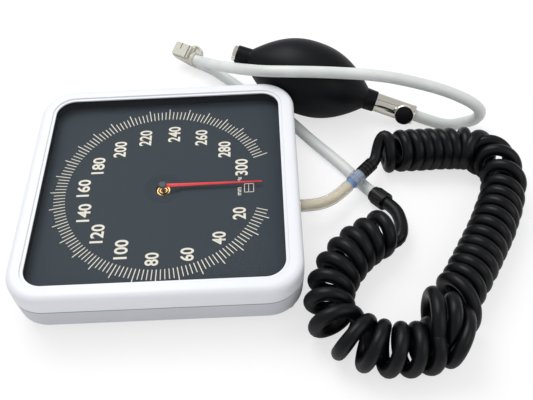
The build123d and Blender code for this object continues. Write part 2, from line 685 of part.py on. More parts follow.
def make_hairspring():
    """A flat spiral strip from the collet out to its stud."""
    steps = 16 * SPRING_TURNS
    outer_edge, inner_edge = [], []
    for k in range(steps + 1):
        turns = k / 16
        radius = SPRING_INNER_R + SPRING_PITCH * turns
        inner_edge.append(polar(radius, 360.0 * turns))
        outer_edge.append(polar(radius + SPRING_THICK, 360.0 * turns))
    strip = [Spline(*inner_edge), Line(inner_edge[-1], outer_edge[-1]),
             Spline(*outer_edge), Line(outer_edge[0], inner_edge[0])]
    return at_z(SPRING_Z, SPRING_Z + SPRING_TALL, make_face(strip))


def make_stud():
    """The post under the top plate that holds the hairspring's outer end."""
    x = SPRING_INNER_R + SPRING_PITCH * SPRING_TURNS + SPRING_THICK + STUD_R
    return rod(STUD_R, (x, 0, SPRING_Z - 0.1), (x, 0, TOP_PLATE_Z))


def make_rocker_posts():
    """The two uprights that carry the rocking shaft."""
    posts = []
    for y in ROCKER_POSTS_Y:
        tall = ROCKER_Z + 2.0 - BASE_TOP_Z
        post = Box(ROCKER_POST_WIDE, ROCKER_POST_THICK, tall)
        post = Pos(ROCKER_X, y, BASE_TOP_Z + tall / 2) * post
        top = [e for e in post.edges().filter_by(Axis.Y) if e.center().Z > ROCKER_Z]
        post = fillet(top, 1.5)
        posts.append(post - rod(ROCKER_R + PIVOT_GAP, (ROCKER_X, y - 5, ROCKER_Z),
                                (ROCKER_X, y + 5, ROCKER_Z)))
    return Compound(children=posts)


def make_rocker_shaft():
    low, high = ROCKER_ENDS_Y
    return rod(ROCKER_R, (ROCKER_X, low, ROCKER_Z), (ROCKER_X, high, ROCKER_Z))


def rocker_hub(y, wide):
    """A hub on the rocking shaft."""
    hub = rod(ARM_HUB_R, (ROCKER_X, y - wide / 2, ROCKER_Z), (ROCKER_X, y + wide / 2, ROCKER_Z))
    return hub


def make_lift_arm():
    """The arm that the capsule lifts, pointing down by half of its swing at zero pressure."""
    y = CAPSULE_CENTRE[1]
    lean = math.radians(REST_LEAN_DEG)
    tip = (ROCKER_X + LIFT_ARM * math.cos(lean), y, ROCKER_Z - LIFT_ARM * math.sin(lean))
    arm = rocker_hub(y, 2.0) + rod(LIFT_ARM_R, (ROCKER_X, y, ROCKER_Z), tip)
    return arm - make_rocker_shaft()


def make_push_arm():
    """The upright arm that pushes the sector's pin, leaning back by half of its swing."""
    arm = Box(2 * PUSH_ARM_HALF, PUSH_ARM_WIDE, PUSH_ARM, align=(Align.CENTER, Align.CENTER, Align.MIN))
    arm = Pos(ROCKER_X, PUSH_ARM_Y, ROCKER_Z) * Rot(0, REST_LEAN_DEG, 0) * arm
    return arm + rocker_hub(PUSH_ARM_Y, PUSH_ARM_WIDE) - make_rocker_shaft()


def make_capsule():
    """Two corrugated diaphragms joined at the rim, as one closed shape."""
    half = CAPSULE_THICK / 2
    top = [(0.0, half), (CAPSULE_FLAT_R, half)]
    span = CAPSULE_R - CAPSULE_FLAT_R
    for k in range(1, CAPSULE_WAVES):
        share = k / CAPSULE_WAVES
        height = half + (CAPSULE_RIM_THICK / 2 - half) * share
        wave = CAPSULE_WAVE if k % 2 else -CAPSULE_WAVE
        top.append((CAPSULE_FLAT_R + span * share, height + wave))
    top.append((CAPSULE_R, CAPSULE_RIM_THICK / 2))
    bottom = [(r, -z) for r, z in reversed(top)]
    return turned(top + bottom, Plane(origin=(*CAPSULE_CENTRE, CAPSULE_Z + half)))


def make_capsule_post():
    """The post that carries the capsule and lets the air in from the side."""
    x, y = CAPSULE_CENTRE
    post = rod(CAPSULE_POST_R, (x, y, BASE_TOP_Z), (x, y, CAPSULE_Z))
    post += rod(PILLAR_SPIGOT_R, (x, y, BASE_Z), (x, y, BASE_TOP_Z))
    post -= rod(AIR_TUBE_R + AIR_TUBE_FIT, (x + 2, y, AIR_TUBE_Z), (x + 5, y, AIR_TUBE_Z))
    post -= rod(AIR_TUBE_BORE_R, (x, y, AIR_TUBE_Z), (x + 5, y, AIR_TUBE_Z))
    return post - rod(AIR_TUBE_BORE_R, (x, y, AIR_TUBE_Z), (x, y, CAPSULE_Z))


def make_capsule_boss():
    x, y = CAPSULE_CENTRE
    top = CAPSULE_TOP_Z + BOSS_THICK
    boss = rod(BOSS_R, (x, y, CAPSULE_TOP_Z), (x, y, top))
    return boss + rod(BOSS_PIN_R, (x, y, top), (x, y, top + BOSS_PIN))


def make_air_tube():
    """The metal tube from the capsule's post up to the hose barb."""
    x, y = CAPSULE_CENTRE
    route = [
        (x + 2.2, y, AIR_TUBE_Z), (33.0, y, AIR_TUBE_Z), (45.0, 7.0, CASE_FLOOR_Z + 3.5),
        (60.0, -4.5, BARB_Z), (68.0, BARB_Y, BARB_Z),
        (BARB_SEAT_X - WALL_PAD_THICK - BARB_INSIDE + 3.4, BARB_Y, BARB_Z),
    ]
    path = FilletPolyline(*route, radius=AIR_TUBE_BEND_R)
    section = Circle(AIR_TUBE_R) - Circle(AIR_TUBE_BORE_R)
    return sweep(Plane(origin=path @ 0, z_dir=path % 0) * section, path=path)


def make_gauge_barb():
    """The barb through the case's wall: hose nose outside, thread and air tube socket inside."""
    inner = -WALL_PAD_THICK - BARB_INSIDE
    socket = AIR_TUBE_R + AIR_TUBE_FIT
    outline = [
        (socket, inner), (BARB_THREAD_R, inner), (BARB_THREAD_R, 0.0),
        (BARB_FLANGE_R, 0.0), (BARB_FLANGE_R, BARB_FLANGE),
    ]
    outline += nipple_profile(BARB_FLANGE, BARB_NOSE)[1:]
    outline += [(AIRWAY_R, inner + 3.5), (socket, inner + 3.5)]
    return turned(outline, along(Vector(BARB_SEAT_X, BARB_Y, BARB_Z), Vector(1, 0, 0)))


def make_barb_nut():
    seat = BARB_SEAT_X - WALL_PAD_THICK
    plane = Plane(origin=(seat, BARB_Y, BARB_Z), z_dir=(-1, 0, 0))
    hexagon = RegularPolygon(NUT_ACROSS / 2, 6, major_radius=False)
    return extrude(plane * (hexagon - Circle(BARB_THREAD_R + SCREW_GAP)), NUT_THICK)


def make_pointer():
    """The pointer at zero: a long taper with a ridge along it, on a small hub."""
    tip = [(POINTER_REACH, -POINTER_TIP_HALF), (POINTER_REACH, POINTER_TIP_HALF)]
    base = [(0.6, POINTER_BASE_HALF), (0.6, -POINTER_BASE_HALF)]
    blade = at_z(POINTER_Z, POINTER_Z + POINTER_THICK,
                 make_face(Polyline(*tip, *base, close=True)), Circle(POINTER_HUB_R + 0.3))
    top = POINTER_Z + POINTER_THICK
    ridge = [(CAP_R + 0.3, -POINTER_BASE_HALF / 3), (POINTER_REACH - 1, -POINTER_TIP_HALF / 3),
             (POINTER_REACH - 1, POINTER_TIP_HALF / 3), (CAP_R + 0.3, POINTER_BASE_HALF / 3)]
    blade += at_z(top, top + POINTER_RIDGE, make_face(Polyline(*ridge, close=True)))
    blade += rod(POINTER_HUB_R, (0, 0, POINTER_Z - POINTER_HUB), (0, 0, POINTER_Z))
    return blade - rod(PIVOT_R + 0.01, (0, 0, POINTER_Z - 2), (0, 0, top))


def make_pointer_cap():
    low = POINTER_Z + POINTER_THICK
    high = low + CAP_THICK
    return turned([(0, low), (CAP_R, low), (CAP_R, high - 0.5), (CAP_R - 0.6, high), (0, high)])


def make_adapter():
    """The translucent luer fitting: a nose in the gauge hose, a body, and a nose in the ferrule."""
    outline = [(AIRWAY_R, -ADAPTER_NOSE), (NIPPLE_R - 0.2, -ADAPTER_NOSE)]
    for step in (1, 2, 3):
        foot = -ADAPTER_NOSE + step * ADAPTER_NOSE / 4
        outline += [(NIPPLE_RIDGE_R, foot), (NIPPLE_R, foot + 0.1)]
    outline += [(NIPPLE_R, 0), (ADAPTER_R, 0), (ADAPTER_R, ADAPTER_LENGTH)]
    outline += nipple_profile(ADAPTER_LENGTH, SLEEVE_LENGTH / 2)[1:]
    return turned(outline, along(ADAPTER_START, ADAPTER_DIR))


def make_lock_collar():
    """The stepped lock collar round the adapter's body."""
    low, high = LOCK_START, ADAPTER_LENGTH
    third = (high - low) / 3
    outline = [
        (ADAPTER_R + 0.05, low), (LOCK_R - LOCK_STEP, low), (LOCK_R - LOCK_STEP, low + third),
        (LOCK_R, low + third), (LOCK_R, high - 0.6 * third),
        (LOCK_R - LOCK_STEP, high - 0.6 * third), (LOCK_R - LOCK_STEP, high),
        (ADAPTER_R + 0.05, high),
    ]
    return turned(outline, along(ADAPTER_START, ADAPTER_DIR))


def make_sleeve():
    """The grooved black ferrule on the coil's first end."""
    outline = [(HOSE_BORE_R, 0.0), (SLEEVE_R, 0.0)]
    pitch = SLEEVE_LENGTH / (SLEEVE_GROOVES + 1)
    for groove in range(1, SLEEVE_GROOVES + 1):
        low, high = groove * pitch - 0.4, groove * pitch + 0.4
        outline += [(SLEEVE_R, low), (SLEEVE_R - SLEEVE_GROOVE, low),
                    (SLEEVE_R - SLEEVE_GROOVE, high), (SLEEVE_R, high)]
    outline += [(SLEEVE_R, SLEEVE_LENGTH), (HOSE_BORE_R, SLEEVE_LENGTH)]
    return turned(outline, along(ADAPTER_END, ADAPTER_DIR))


def make_collar():
    """The ribbed black collar at the coil's second end."""
    chamfer_end = COLLAR_NECK + 1.0
    body = turned([
        (HOSE_BORE_R, 0), (COLLAR_NECK_R, 0), (COLLAR_NECK_R, COLLAR_NECK),
        (COLLAR_R, chamfer_end), (COLLAR_R, COLLAR_LENGTH - 0.6),
        (COLLAR_R - 0.6, COLLAR_LENGTH), (HOSE_BORE_R, COLLAR_LENGTH),
    ], along(COLLAR_START, COLLAR_DIR))
    groove = Sketch()
    for k in range(COLLAR_RIBS):
        groove += Rot(0, 0, k * 360 / COLLAR_RIBS) * Pos(COLLAR_R, 0) * Circle(COLLAR_RIB)
    plane = along(COLLAR_START, COLLAR_DIR, chamfer_end + 1.2)
    return body - extrude(plane * groove, COLLAR_LENGTH - chamfer_end - 2.4)


def make_collar_nipple():
    """The straight nipple inside the collar, with a nose into the hose at each end."""
    outline = [(AIRWAY_R, -6.0), (NIPPLE_R, -6.0), (NIPPLE_R, COLLAR_LENGTH + 4.0),
               (AIRWAY_R, COLLAR_LENGTH + 4.0)]
    return turned(outline, along(COLLAR_START, COLLAR_DIR))


def bulb_radius(distance, full_r, neck_r, start, end):
    """The bulb's radius at a distance along its axis: neck, full belly, neck."""
    share = (distance - start) / (end - start)
    swell = 1.0 - abs(2 * share - 1) ** BULB_FULL_A
    return neck_r + (full_r - neck_r) * max(swell, 0.0) ** BULB_FULL_B


def make_bulb():
    """The hollow rubber bulb: a plain collar at each end, with a crease where the belly starts."""
    start, end = INTAKE_COLLAR, BULB_LENGTH - VALVE_COLLAR
    steps = 16
    belly = []
    for k in range(steps + 1):
        s = start + (end - start) * (1 - math.cos(math.pi * k / steps)) / 2
        belly.append((bulb_radius(s, BULB_R, BULB_NECK_R, *BULB_BELLY), s))
    ends = [(0, 0), (INTAKE_COLLAR_R, 0), (INTAKE_COLLAR_FOOT_R, start), belly[0]]
    far_ends = [belly[-1], (VALVE_COLLAR_FOOT_R, end), (VALVE_COLLAR_R, BULB_LENGTH),
                (0, BULB_LENGTH)]
    outside = [
        Polyline(*ends), Spline(*belly), Polyline(*far_ends),
        Line((0, BULB_LENGTH), (0, 0)),
    ]
    inner_start, inner_end = SPIGOT + 1.0, BULB_LENGTH - BARREL_SUNK - SPIGOT
    hollow = []
    for k in range(steps + 1):
        s = inner_start + (inner_end - inner_start) * (1 - math.cos(math.pi * k / steps)) / 2
        hollow.append((bulb_radius(s, BULB_R - BULB_WALL, NECK_BORE_R, inner_start, inner_end), s))
    inside = [
        Line((0, inner_start), hollow[0]), Spline(*hollow), Line(hollow[-1], (0, inner_end)),
        Line((0, inner_end), (0, inner_start)),
    ]
    place = along(BULB_INTAKE, BULB_DIR)
    bulb = revolve(make_face([Plane.XZ * e for e in outside]), Axis.Z)
    bulb -= revolve(make_face([Plane.XZ * e for e in inside]), Axis.Z)
    bulb -= rod(NECK_BORE_R, (0, 0, 0), (0, 0, BULB_LENGTH))
    bulb -= rod(BARREL_R + NECK_FIT, (0, 0, BULB_LENGTH - BARREL_SUNK), (0, 0, BULB_LENGTH))
    return place.location * bulb


def make_intake_fitting():
    """The plated ring in the bulb's intake end, with the flap valve's chamber behind it."""
    mouth_r = RING_R - 2.1
    seat = SPIGOT - CHAMBER
    outline = [
        (SEAT_R, 0.0), (mouth_r, -0.2), (mouth_r, -RING_OUT), (RING_R - 0.5, -RING_OUT),
        (RING_R, -RING_OUT + 0.5), (RING_R, 0.0), (NECK_BORE_R - NECK_FIT, 0.0),
        (NECK_BORE_R - NECK_FIT, SPIGOT), (CHAMBER_R, SPIGOT), (CHAMBER_R, seat),
        (SEAT_R, seat),
    ]
    return turned(outline, along(BULB_INTAKE, BULB_DIR))


def flap_disc(seat):
    low = seat + DISC_GAP
    return turned([(0, low), (DISC_R, low), (DISC_R, low + DISC_THICK), (0, low + DISC_THICK)],
                  along(BULB_INTAKE, BULB_DIR))


def flap_cage(high):
    low = high - CAGE_THICK
    return turned([(CAGE_BORE_R, low), (CHAMBER_R - 0.02, low), (CHAMBER_R - 0.02, high),
                   (CAGE_BORE_R, high)], along(BULB_INTAKE, BULB_DIR))


def make_valve_barrel():
    """The release valve's barrel: spigot with the check valve's seat, bore, bonnet and nipple."""
    low = -BARREL_SUNK
    spigot_end = low - SPIGOT
    seat = low - CHAMBER
    outline = [
        (SEAT_R, spigot_end), (NECK_BORE_R - NECK_FIT, spigot_end),
        (NECK_BORE_R - NECK_FIT, low), (BARREL_R, low), (BARREL_R, BARREL_LENGTH - 2.0),
        (BARREL_R + BARREL_LIP - 0.2, BARREL_LENGTH - 2.0),
        (BARREL_R + BARREL_LIP - 0.2, BARREL_LENGTH), (BARREL_R - 1.2, NIPPLE_TIP),
    ]
    outline += nipple_profile(NIPPLE_TIP, VALVE_NIPPLE)[1:]
    outline += [(AIRWAY_R, low), (CHAMBER_R, low), (CHAMBER_R, seat), (SEAT_R, seat)]
    barrel = turned(outline, along(BULB_VALVE, BULB_DIR))
    side = BULB_VALVE + BULB_DIR * KNOB_AT
    barrel += rod(BONNET_R, side + KNOB_OUT * 3.0, side + KNOB_OUT * BONNET_OUT)
    barrel -= rod(STEM_R + STEM_FIT, side + KNOB_OUT * 2.6, side + KNOB_OUT * (BONNET_OUT + 1))
    barrel -= rod(STEM_TIP_R + 0.1, side, side + KNOB_OUT * 3.0)
    vent_way = BULB_DIR
    vent = side + KNOB_OUT * (BARREL_R + 1.0)
    return barrel - rod(0.6, vent, vent + vent_way * (BONNET_R + 1))


def make_valve_stem():
    """The needle screw that the knob turns."""
    side = along(BULB_VALVE + BULB_DIR * KNOB_AT, KNOB_OUT)
    seat = 2.6
    shoulder = seat + 0.1
    return turned([
        (0, shoulder - STEM_TIP + 1.4), (STEM_TIP_R - 0.3, shoulder - STEM_TIP + 1.4),
        (STEM_TIP_R, shoulder), (STEM_R, shoulder + 1.0), (STEM_R, KNOB_START + 1.0),
        (0, KNOB_START + 1.0),
    ], side)


def make_knob_rim():
    """The knob's knurled metal cup, open at the face where the disc sits."""
    place = along(BULB_VALVE + BULB_DIR * KNOB_AT, KNOB_OUT)
    pocket = KNOB_END - KNOB_FACE_SUNK - 1.5
    cup = turned([
        (STEM_R + 0.05, KNOB_START), (KNOB_R - 0.5, KNOB_START), (KNOB_R, KNOB_START + 0.5),
        (KNOB_R, KNOB_END - 0.3), (KNOB_R - 0.3, KNOB_END), (KNOB_R - KNOB_RIM, KNOB_END),
        (KNOB_R - KNOB_RIM, pocket), (0, pocket), (0, KNOB_START + 1.0),
        (STEM_R + 0.05, KNOB_START + 1.0),
    ], place)
    flutes = Sketch()
    for k in range(KNURLS):
        flutes += Rot(0, 0, k * 360 / KNURLS) * Pos(KNOB_R, 0) * Circle(KNURL_R)
    start = along(place.origin, KNOB_OUT, KNOB_START + 0.8)
    return cup - extrude(start * flutes, KNOB_END - KNOB_START - 1.5)


def make_knob_disc():
    """The black disc set in the knob's face."""
    low = KNOB_END - KNOB_FACE_SUNK - 1.5
    high = KNOB_END - KNOB_FACE_SUNK
    r = KNOB_R - KNOB_RIM - 0.02
    return turned([(0, low), (r, low), (r, high), (0, high)],
                  along(BULB_VALVE + BULB_DIR * KNOB_AT, KNOB_OUT))


def connector_place():
    return Plane(origin=CONNECTOR_ORIGIN, x_dir=CONNECTOR_DIR, z_dir=CONNECTOR_UP).location


def connector_block(x_low, x_high, y_half, z_low, z_high):
    """A block in the connector's own axes."""
    block = Box(x_high - x_low, 2 * y_half, z_high - z_low)
    return Pos((x_low + x_high) / 2, 0, (z_low + z_high) / 2) * block


def make_connector_body():
    """The connector's moulded body: raked nose, two tube rings and the round cuff socket."""
    low_y, high_y = CONNECTOR_SIDES_Y
    side = [
        (CONNECTOR_NOSE_X, 10.5), (CONNECTOR_NOSE_X, CONNECTOR_TOP_Z),
        (CAP_START_X, CONNECTOR_TOP_Z), (CAP_START_X, CONNECTOR_FOOT_Z), (2.2, CONNECTOR_FOOT_Z),
    ]
    block = extrude(Plane.XZ * make_face(Polyline(*side, close=True)), (high_y - low_y) / 2,
                    both=True)
    block = Pos(0, (low_y + high_y) / 2, 0) * block
    upright = block.edges().filter_by(Axis.Z).sort_by(Axis.X)[:2]
    block = fillet(upright, 2.0)
    block += connector_block(CAP_START_X, CONNECTOR_END_X - 1.0, 2.6, TUBE_LOW_Z, TUBE_HIGH_Z)
    block += rod(3.6, (CAP_START_X, 0, TUBE_HIGH_Z), (TUBE_RING_X, 0, TUBE_HIGH_Z))
    ring = rod(TUBE_RING_R, (TUBE_RING_X, 0, TUBE_HIGH_Z), (CONNECTOR_END_X, 0, TUBE_HIGH_Z))
    ring = chamfer(ring.edges().filter_by(GeomType.CIRCLE), 0.35)
    block += ring
    block += rod(3.95, (CAP_START_X, 0, TUBE_LOW_Z), (CONNECTOR_END_X, 0, TUBE_LOW_Z))
    socket = rod(SOCKET_R, (*SOCKET_AT, SOCKET_Z[0]), (*SOCKET_AT, SOCKET_Z[1]))
    socket = chamfer(socket.edges().sort_by(Axis.Z)[-1], 0.4)
    for z in (TUBE_LOW_Z, TUBE_HIGH_Z):
        socket -= rod(HOSE_NOTCH_R, (CONNECTOR_END_X, 0, z), (CONNECTOR_END_X + SOCKET_R, 0, z))
    dish_r, dish_deep = SOCKET_DISH
    dish = rod(dish_r, (*SOCKET_AT, SOCKET_Z[1] - dish_deep), (*SOCKET_AT, SOCKET_Z[1] + 1))
    dish -= Pos(0, 0, SOCKET_Z[1]) * Box(2 * CAP_START_X, 30, 8)
    dish -= rod(TUBE_RING_R, (0, 0, TUBE_HIGH_Z), (CONNECTOR_END_X + SOCKET_R, 0, TUBE_HIGH_Z))
    block += socket
    block -= dish
    pocket_low = CONNECTOR_TOP_Z - 2 * RAIL_STEP - 2 * LATCH_GAP
    block -= rod(PORT_R, (*SOCKET_AT, SOCKET_Z[0]), (*SOCKET_AT, SOCKET_Z[0] + PORT_DEPTH))
    block -= rod(PORT_R + PORT_CLEAR, (*SOCKET_AT, -2), (*SOCKET_AT, SOCKET_Z[0]))
    for z in (TUBE_LOW_Z, TUBE_HIGH_Z - RAIL_STEP):
        block -= rod(AIRWAY_R, (4.0, 0, z), (CONNECTOR_END_X, 0, z))
    block -= rod(AIRWAY_R, (4.0, 0, TUBE_LOW_Z), (4.0, 0, TUBE_HIGH_Z - RAIL_STEP - 1.0))
    port_z = SOCKET_Z[0] + AIRWAY_R + 0.2
    block -= rod(AIRWAY_R, (SOCKET_AT[0], SOCKET_AT[1], port_z), (4.0, 0, port_z))
    low_x = RAIL_ENDS_X[0] - LATCH_TRAVEL - LATCH_GAP
    high_x = RAIL_ENDS_X[1] + LATCH_TRAVEL + LATCH_GAP
    foot_top = pocket_low + RAIL_STEP + 3 * LATCH_GAP
    rail_way = connector_block(low_x, high_x, RAIL_FOOT_HALF + LATCH_GAP, pocket_low, foot_top)
    rail_way += connector_block(low_x, high_x, RAIL_NECK_HALF + LATCH_GAP, foot_top - 0.1,
                                CONNECTOR_TOP_Z + 1)
    block -= Pos(0, LATCH_MIDDLE_Y, 0) * rail_way
    return connector_place() * block


def make_connector_latch():
    """The sliding latch plate on a T-shaped rail, with its slots and thumb ridge."""
    low_x, high_x = LATCH_ENDS_X
    low = CONNECTOR_TOP_Z + LATCH_GAP
    high = low + LATCH_THICK
    plate = connector_block(low_x, high_x, LATCH_WIDE / 2, low, high)
    plate = fillet(plate.edges().filter_by(Axis.Z), 1.4)
    plate = chamfer(plate.faces().sort_by(Axis.Z)[-1].edges(), 0.4)
    plate += connector_block(*RAIL_ENDS_X, RAIL_NECK_HALF, low - RAIL_STEP - LATCH_GAP, low)
    foot_high = low - RAIL_STEP - LATCH_GAP
    plate += connector_block(*RAIL_ENDS_X, RAIL_FOOT_HALF, foot_high - RAIL_STEP, foot_high)
    slot = connector_block(-4.3, -3.3, 2.4, high - 0.9, high + 1)
    plate -= Pos(0, 2.4, 0) * slot
    plate -= connector_block(2.2, 3.5, LATCH_WIDE, high - 1.3, high + 1)
    ridge = Pos(4.1, -1.9, high - 0.1) * Cylinder(0.7, 6.0, rotation=(90, 0, 0))
    return connector_place() * Pos(0, LATCH_MIDDLE_Y, 0) * (plate + ridge)


def make_connector_barbs():
    """The two nipples that the tubes push onto."""
    barbs = []
    for z in (TUBE_LOW_Z, TUBE_HIGH_Z):
        start = CONNECTOR_ORIGIN + CONNECTOR_DIR * CONNECTOR_END_X + CONNECTOR_UP * z
        barbs.append(turned(nipple_profile(0.0, CONNECTOR_NIPPLE), along(start, CONNECTOR_DIR)))
    return Compound(children=barbs)


def make_coil():
    """The coil's outer shape: one thick tube along the axis of its turns."""
    return hose("coiled_hose", COIL_ROUTE, COIL_R, 0)


intake_seat = SPIGOT - CHAMBER
check_seat = BULB_LENGTH - BARREL_SUNK - CHAMBER
case_screw = make_screw(SCREW_HEAD_R, SCREW_HEAD_THICK, SCREW_R,
                        REAR_FLOOR_Z + HEAD_POCKET_DEPTH, POST_FOOT_Z + SCREW_BITE)
base_screw = make_screw(SCREW_HEAD_R, SCREW_HEAD_THICK, SCREW_R, BASE_TOP_Z, 1.2)
long_screw = make_screw(LONG_HEAD_R, LONG_HEAD_THICK, LONG_SCREW_R,
                        TOP_PLATE_TOP_Z, LONG_SCREW_END_Z)
insert = rod(INSERT_R, (0, 0, INSERT_SUNK), (0, 0, INSERT_LENGTH + INSERT_SUNK), INSERT_BORE_R)

pieces = {
    "rear_housing": make_rear_housing(),
    "bezel": make_bezel(),
    "lens": clamped_frame(LENS_Z, WINDOW_LIP_Z),
    "window_gasket": clamped_frame(GASKET_Z, LENS_Z, WINDOW_SIDE + 2 * GASKET_INSIDE,
                                   WINDOW_CORNER_R + GASKET_INSIDE),
    "dial_spacer": clamped_frame(DIAL_TOP_Z, GASKET_Z, WINDOW_SIDE + 2 * SPACER_WALL_INSIDE,
                                 WINDOW_CORNER_R + SPACER_WALL_INSIDE),
    "dial_plate": make_dial(),
    "case_screws": copies(case_screw, [(i * POST_AT, j * POST_AT) for i, j in CORNERS]),
    "mount_inserts": copies(insert, [(i * INSERT_SPACING / 2, j * INSERT_SPACING / 2)
                                     for i, j in CORNERS]),
    "movement_base": make_base_plate(),
    "base_screws": copies(base_screw, movement_spots(BASE_SIZE, BASE_CENTRE, BASE_SCREW_IN)),
    "gear_plate": make_arbor_plate(GEAR_PLATE_Z, GEAR_PLATE_TOP_Z, PIVOT_HOLE_R, True),
    "top_plate": make_arbor_plate(TOP_PLATE_Z, TOP_PLATE_TOP_Z, BUSH_SPIGOT_R + 0.02, False),
    "lower_pillars": make_pillars(BASE_TOP_Z, GEAR_PLATE_Z, BASE_PLATE),
    "upper_pillars": make_pillars(GEAR_PLATE_TOP_Z, TOP_PLATE_Z, 0),
    "movement_screws": copies(long_screw, movement_spots(GEAR_PLATE_SIZE, GEAR_PLATE_CENTRE,
                                                         PILLAR_IN)),
    "arbor_bush": make_bush(),
    "rocker_posts": make_rocker_posts(),
    "hairspring": make_hairspring(),
    "hairspring_stud": make_stud(),
    "capsule_post": make_capsule_post(),
    "capsule": make_capsule(),
    "air_tube": make_air_tube(),
    "gauge_barb": make_gauge_barb(),
    "barb_nut": make_barb_nut(),
    "pointer_arbor": make_pinion(),
    "pointer": make_pointer(),
    "pointer_cap": make_pointer_cap(),
    "sector_gear": make_sector(),
    "sector_arbor": rod(PIVOT_R, (0, SECTOR_Y, GEAR_PLATE_Z + PIVOT_END_GAP),
                        (0, SECTOR_Y, TOP_PLATE_TOP_Z - PIVOT_END_GAP)),
    "push_pin": make_push_pin(),
    "rocker_shaft": make_rocker_shaft(),
    "lift_arm": make_lift_arm(),
    "push_arm": make_push_arm(),
    "capsule_boss": make_capsule_boss(),
    "gauge_hose": hose("gauge_hose", GAUGE_HOSE_ROUTE),
    "hose_adapter": make_adapter(),
    "lock_collar": make_lock_collar(),
    "coil_sleeve": make_sleeve(),
    "coil_lead": hose("coil_lead", COIL_LEAD_ROUTE, COIL_HOSE_R),
    "coiled_hose": make_coil(),
    "coil_tail": hose("coil_tail", COIL_TAIL_ROUTE, COIL_HOSE_R),
    "coil_collar": make_collar(),
    "collar_nipple": make_collar_nipple(),
    "cuff_hose": hose("cuff_hose", CUFF_HOSE_ROUTE),
    "bulb_hose": hose("bulb_hose", BULB_HOSE_ROUTE),
    "connector_body": make_connector_body(),
    "connector_latch": make_connector_latch(),
    "connector_barbs": make_connector_barbs(),
    "bulb": make_bulb(),
    "intake_fitting": make_intake_fitting(),
    "intake_disc": flap_disc(intake_seat),
    "intake_cage": flap_cage(SPIGOT),
    "check_disc": flap_disc(check_seat),
    "check_cage": flap_cage(check_seat + CHAMBER),
    "valve_barrel": make_valve_barrel(),
    "valve_stem": make_valve_stem(),
    "knob_rim": make_knob_rim(),
    "knob_disc": make_knob_disc(),
}

os.makedirs("parts", exist_ok=True)
for node, piece in pieces.items():
    export_step(piece, f"parts/{node}.step")
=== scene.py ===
import bpy
import math
from mathutils import Matrix, Vector


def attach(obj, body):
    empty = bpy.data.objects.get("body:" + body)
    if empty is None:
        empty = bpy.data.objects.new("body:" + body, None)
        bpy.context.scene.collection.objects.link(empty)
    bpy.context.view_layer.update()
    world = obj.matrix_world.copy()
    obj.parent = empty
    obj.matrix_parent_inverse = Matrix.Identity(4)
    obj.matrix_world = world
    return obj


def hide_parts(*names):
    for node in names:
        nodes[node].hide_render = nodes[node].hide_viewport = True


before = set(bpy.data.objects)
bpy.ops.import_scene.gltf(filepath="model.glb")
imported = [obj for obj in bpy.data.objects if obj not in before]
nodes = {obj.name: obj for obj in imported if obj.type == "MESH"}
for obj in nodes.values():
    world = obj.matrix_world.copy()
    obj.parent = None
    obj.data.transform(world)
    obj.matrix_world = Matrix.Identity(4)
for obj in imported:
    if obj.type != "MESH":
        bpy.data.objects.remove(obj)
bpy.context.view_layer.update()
ROOT = "sphygmomanometer"
MM = 0.001


def mm(*xyz):
    return Vector(xyz) * MM


# The camera, solved from the gauge's square face in the photograph.

CAMERA_AT = mm(70.56, -306.98, 386.11)
CAMERA_RIGHT = Vector((0.998926, -0.0261204, -0.0382701))
CAMERA_UP = Vector((0.0444887, 0.7714967, 0.634676))
CAMERA_LENS = 50.74
CAMERA_SENSOR = 36.0
CAMERA_NEAR, CAMERA_FAR = 0.01, 20.0

camera = bpy.data.objects.new("camera", bpy.data.cameras.new("camera"))
bpy.context.collection.objects.link(camera)
camera.data.sensor_width = CAMERA_SENSOR
camera.data.lens = CAMERA_LENS
camera.data.clip_start = CAMERA_NEAR
camera.data.clip_end = CAMERA_FAR
camera_turn = Matrix((CAMERA_RIGHT, CAMERA_UP, CAMERA_RIGHT.cross(CAMERA_UP))).transposed()
camera.matrix_world = Matrix.Translation(CAMERA_AT) @ camera_turn.to_4x4()
bpy.context.scene.camera = camera


# The hoses' ends and routes, the same as the CAD's, in metres.

LYING = 4.05  # the height of a hose's centre line where it lies on the table, in millimetres
COIL_Z = 14.8

BARB_OUT = mm(85.7, -9.3, 17.5)
ADAPTER_START = mm(117.8, 9.1, 13.2)
ADAPTER_DIR = Vector((0.710, 0.701, 0.067)).normalized()
SLEEVE_END = ADAPTER_START + ADAPTER_DIR * 24 * MM
COLLAR_START = mm(134.6, 7.4, 6.0)
COLLAR_DIR = Vector((0.565, -0.806, 0.175)).normalized()
COLLAR_END = COLLAR_START + COLLAR_DIR * 12 * MM
CONNECTOR_AT = mm(6.6, 153.0, 0.0)
CONNECTOR_DIR = Vector((0.86, -0.51, 0.0)).normalized()
CONNECTOR_ROLL = 28.0
CONNECTOR_UP = (Matrix.Rotation(math.radians(CONNECTOR_ROLL), 3, CONNECTOR_DIR)
                @ Vector((0, 0, 1)))
CUFF_START = CONNECTOR_AT + CONNECTOR_DIR * 9.7 * MM + mm(0, 0, LYING)
BULB_INTAKE = mm(47.0, 116.6, 38.0)
BULB_VALVE = mm(144.4, 86.3, 13.5)
BULB_DIR = (BULB_VALVE - BULB_INTAKE).normalized()
BULB_LENGTH = (BULB_VALVE - BULB_INTAKE).length
BULB_HOSE_START = BULB_VALVE + BULB_DIR * 28.95 * MM
BULB_HOSE_END = CUFF_START + CONNECTOR_UP * 8.15 * MM

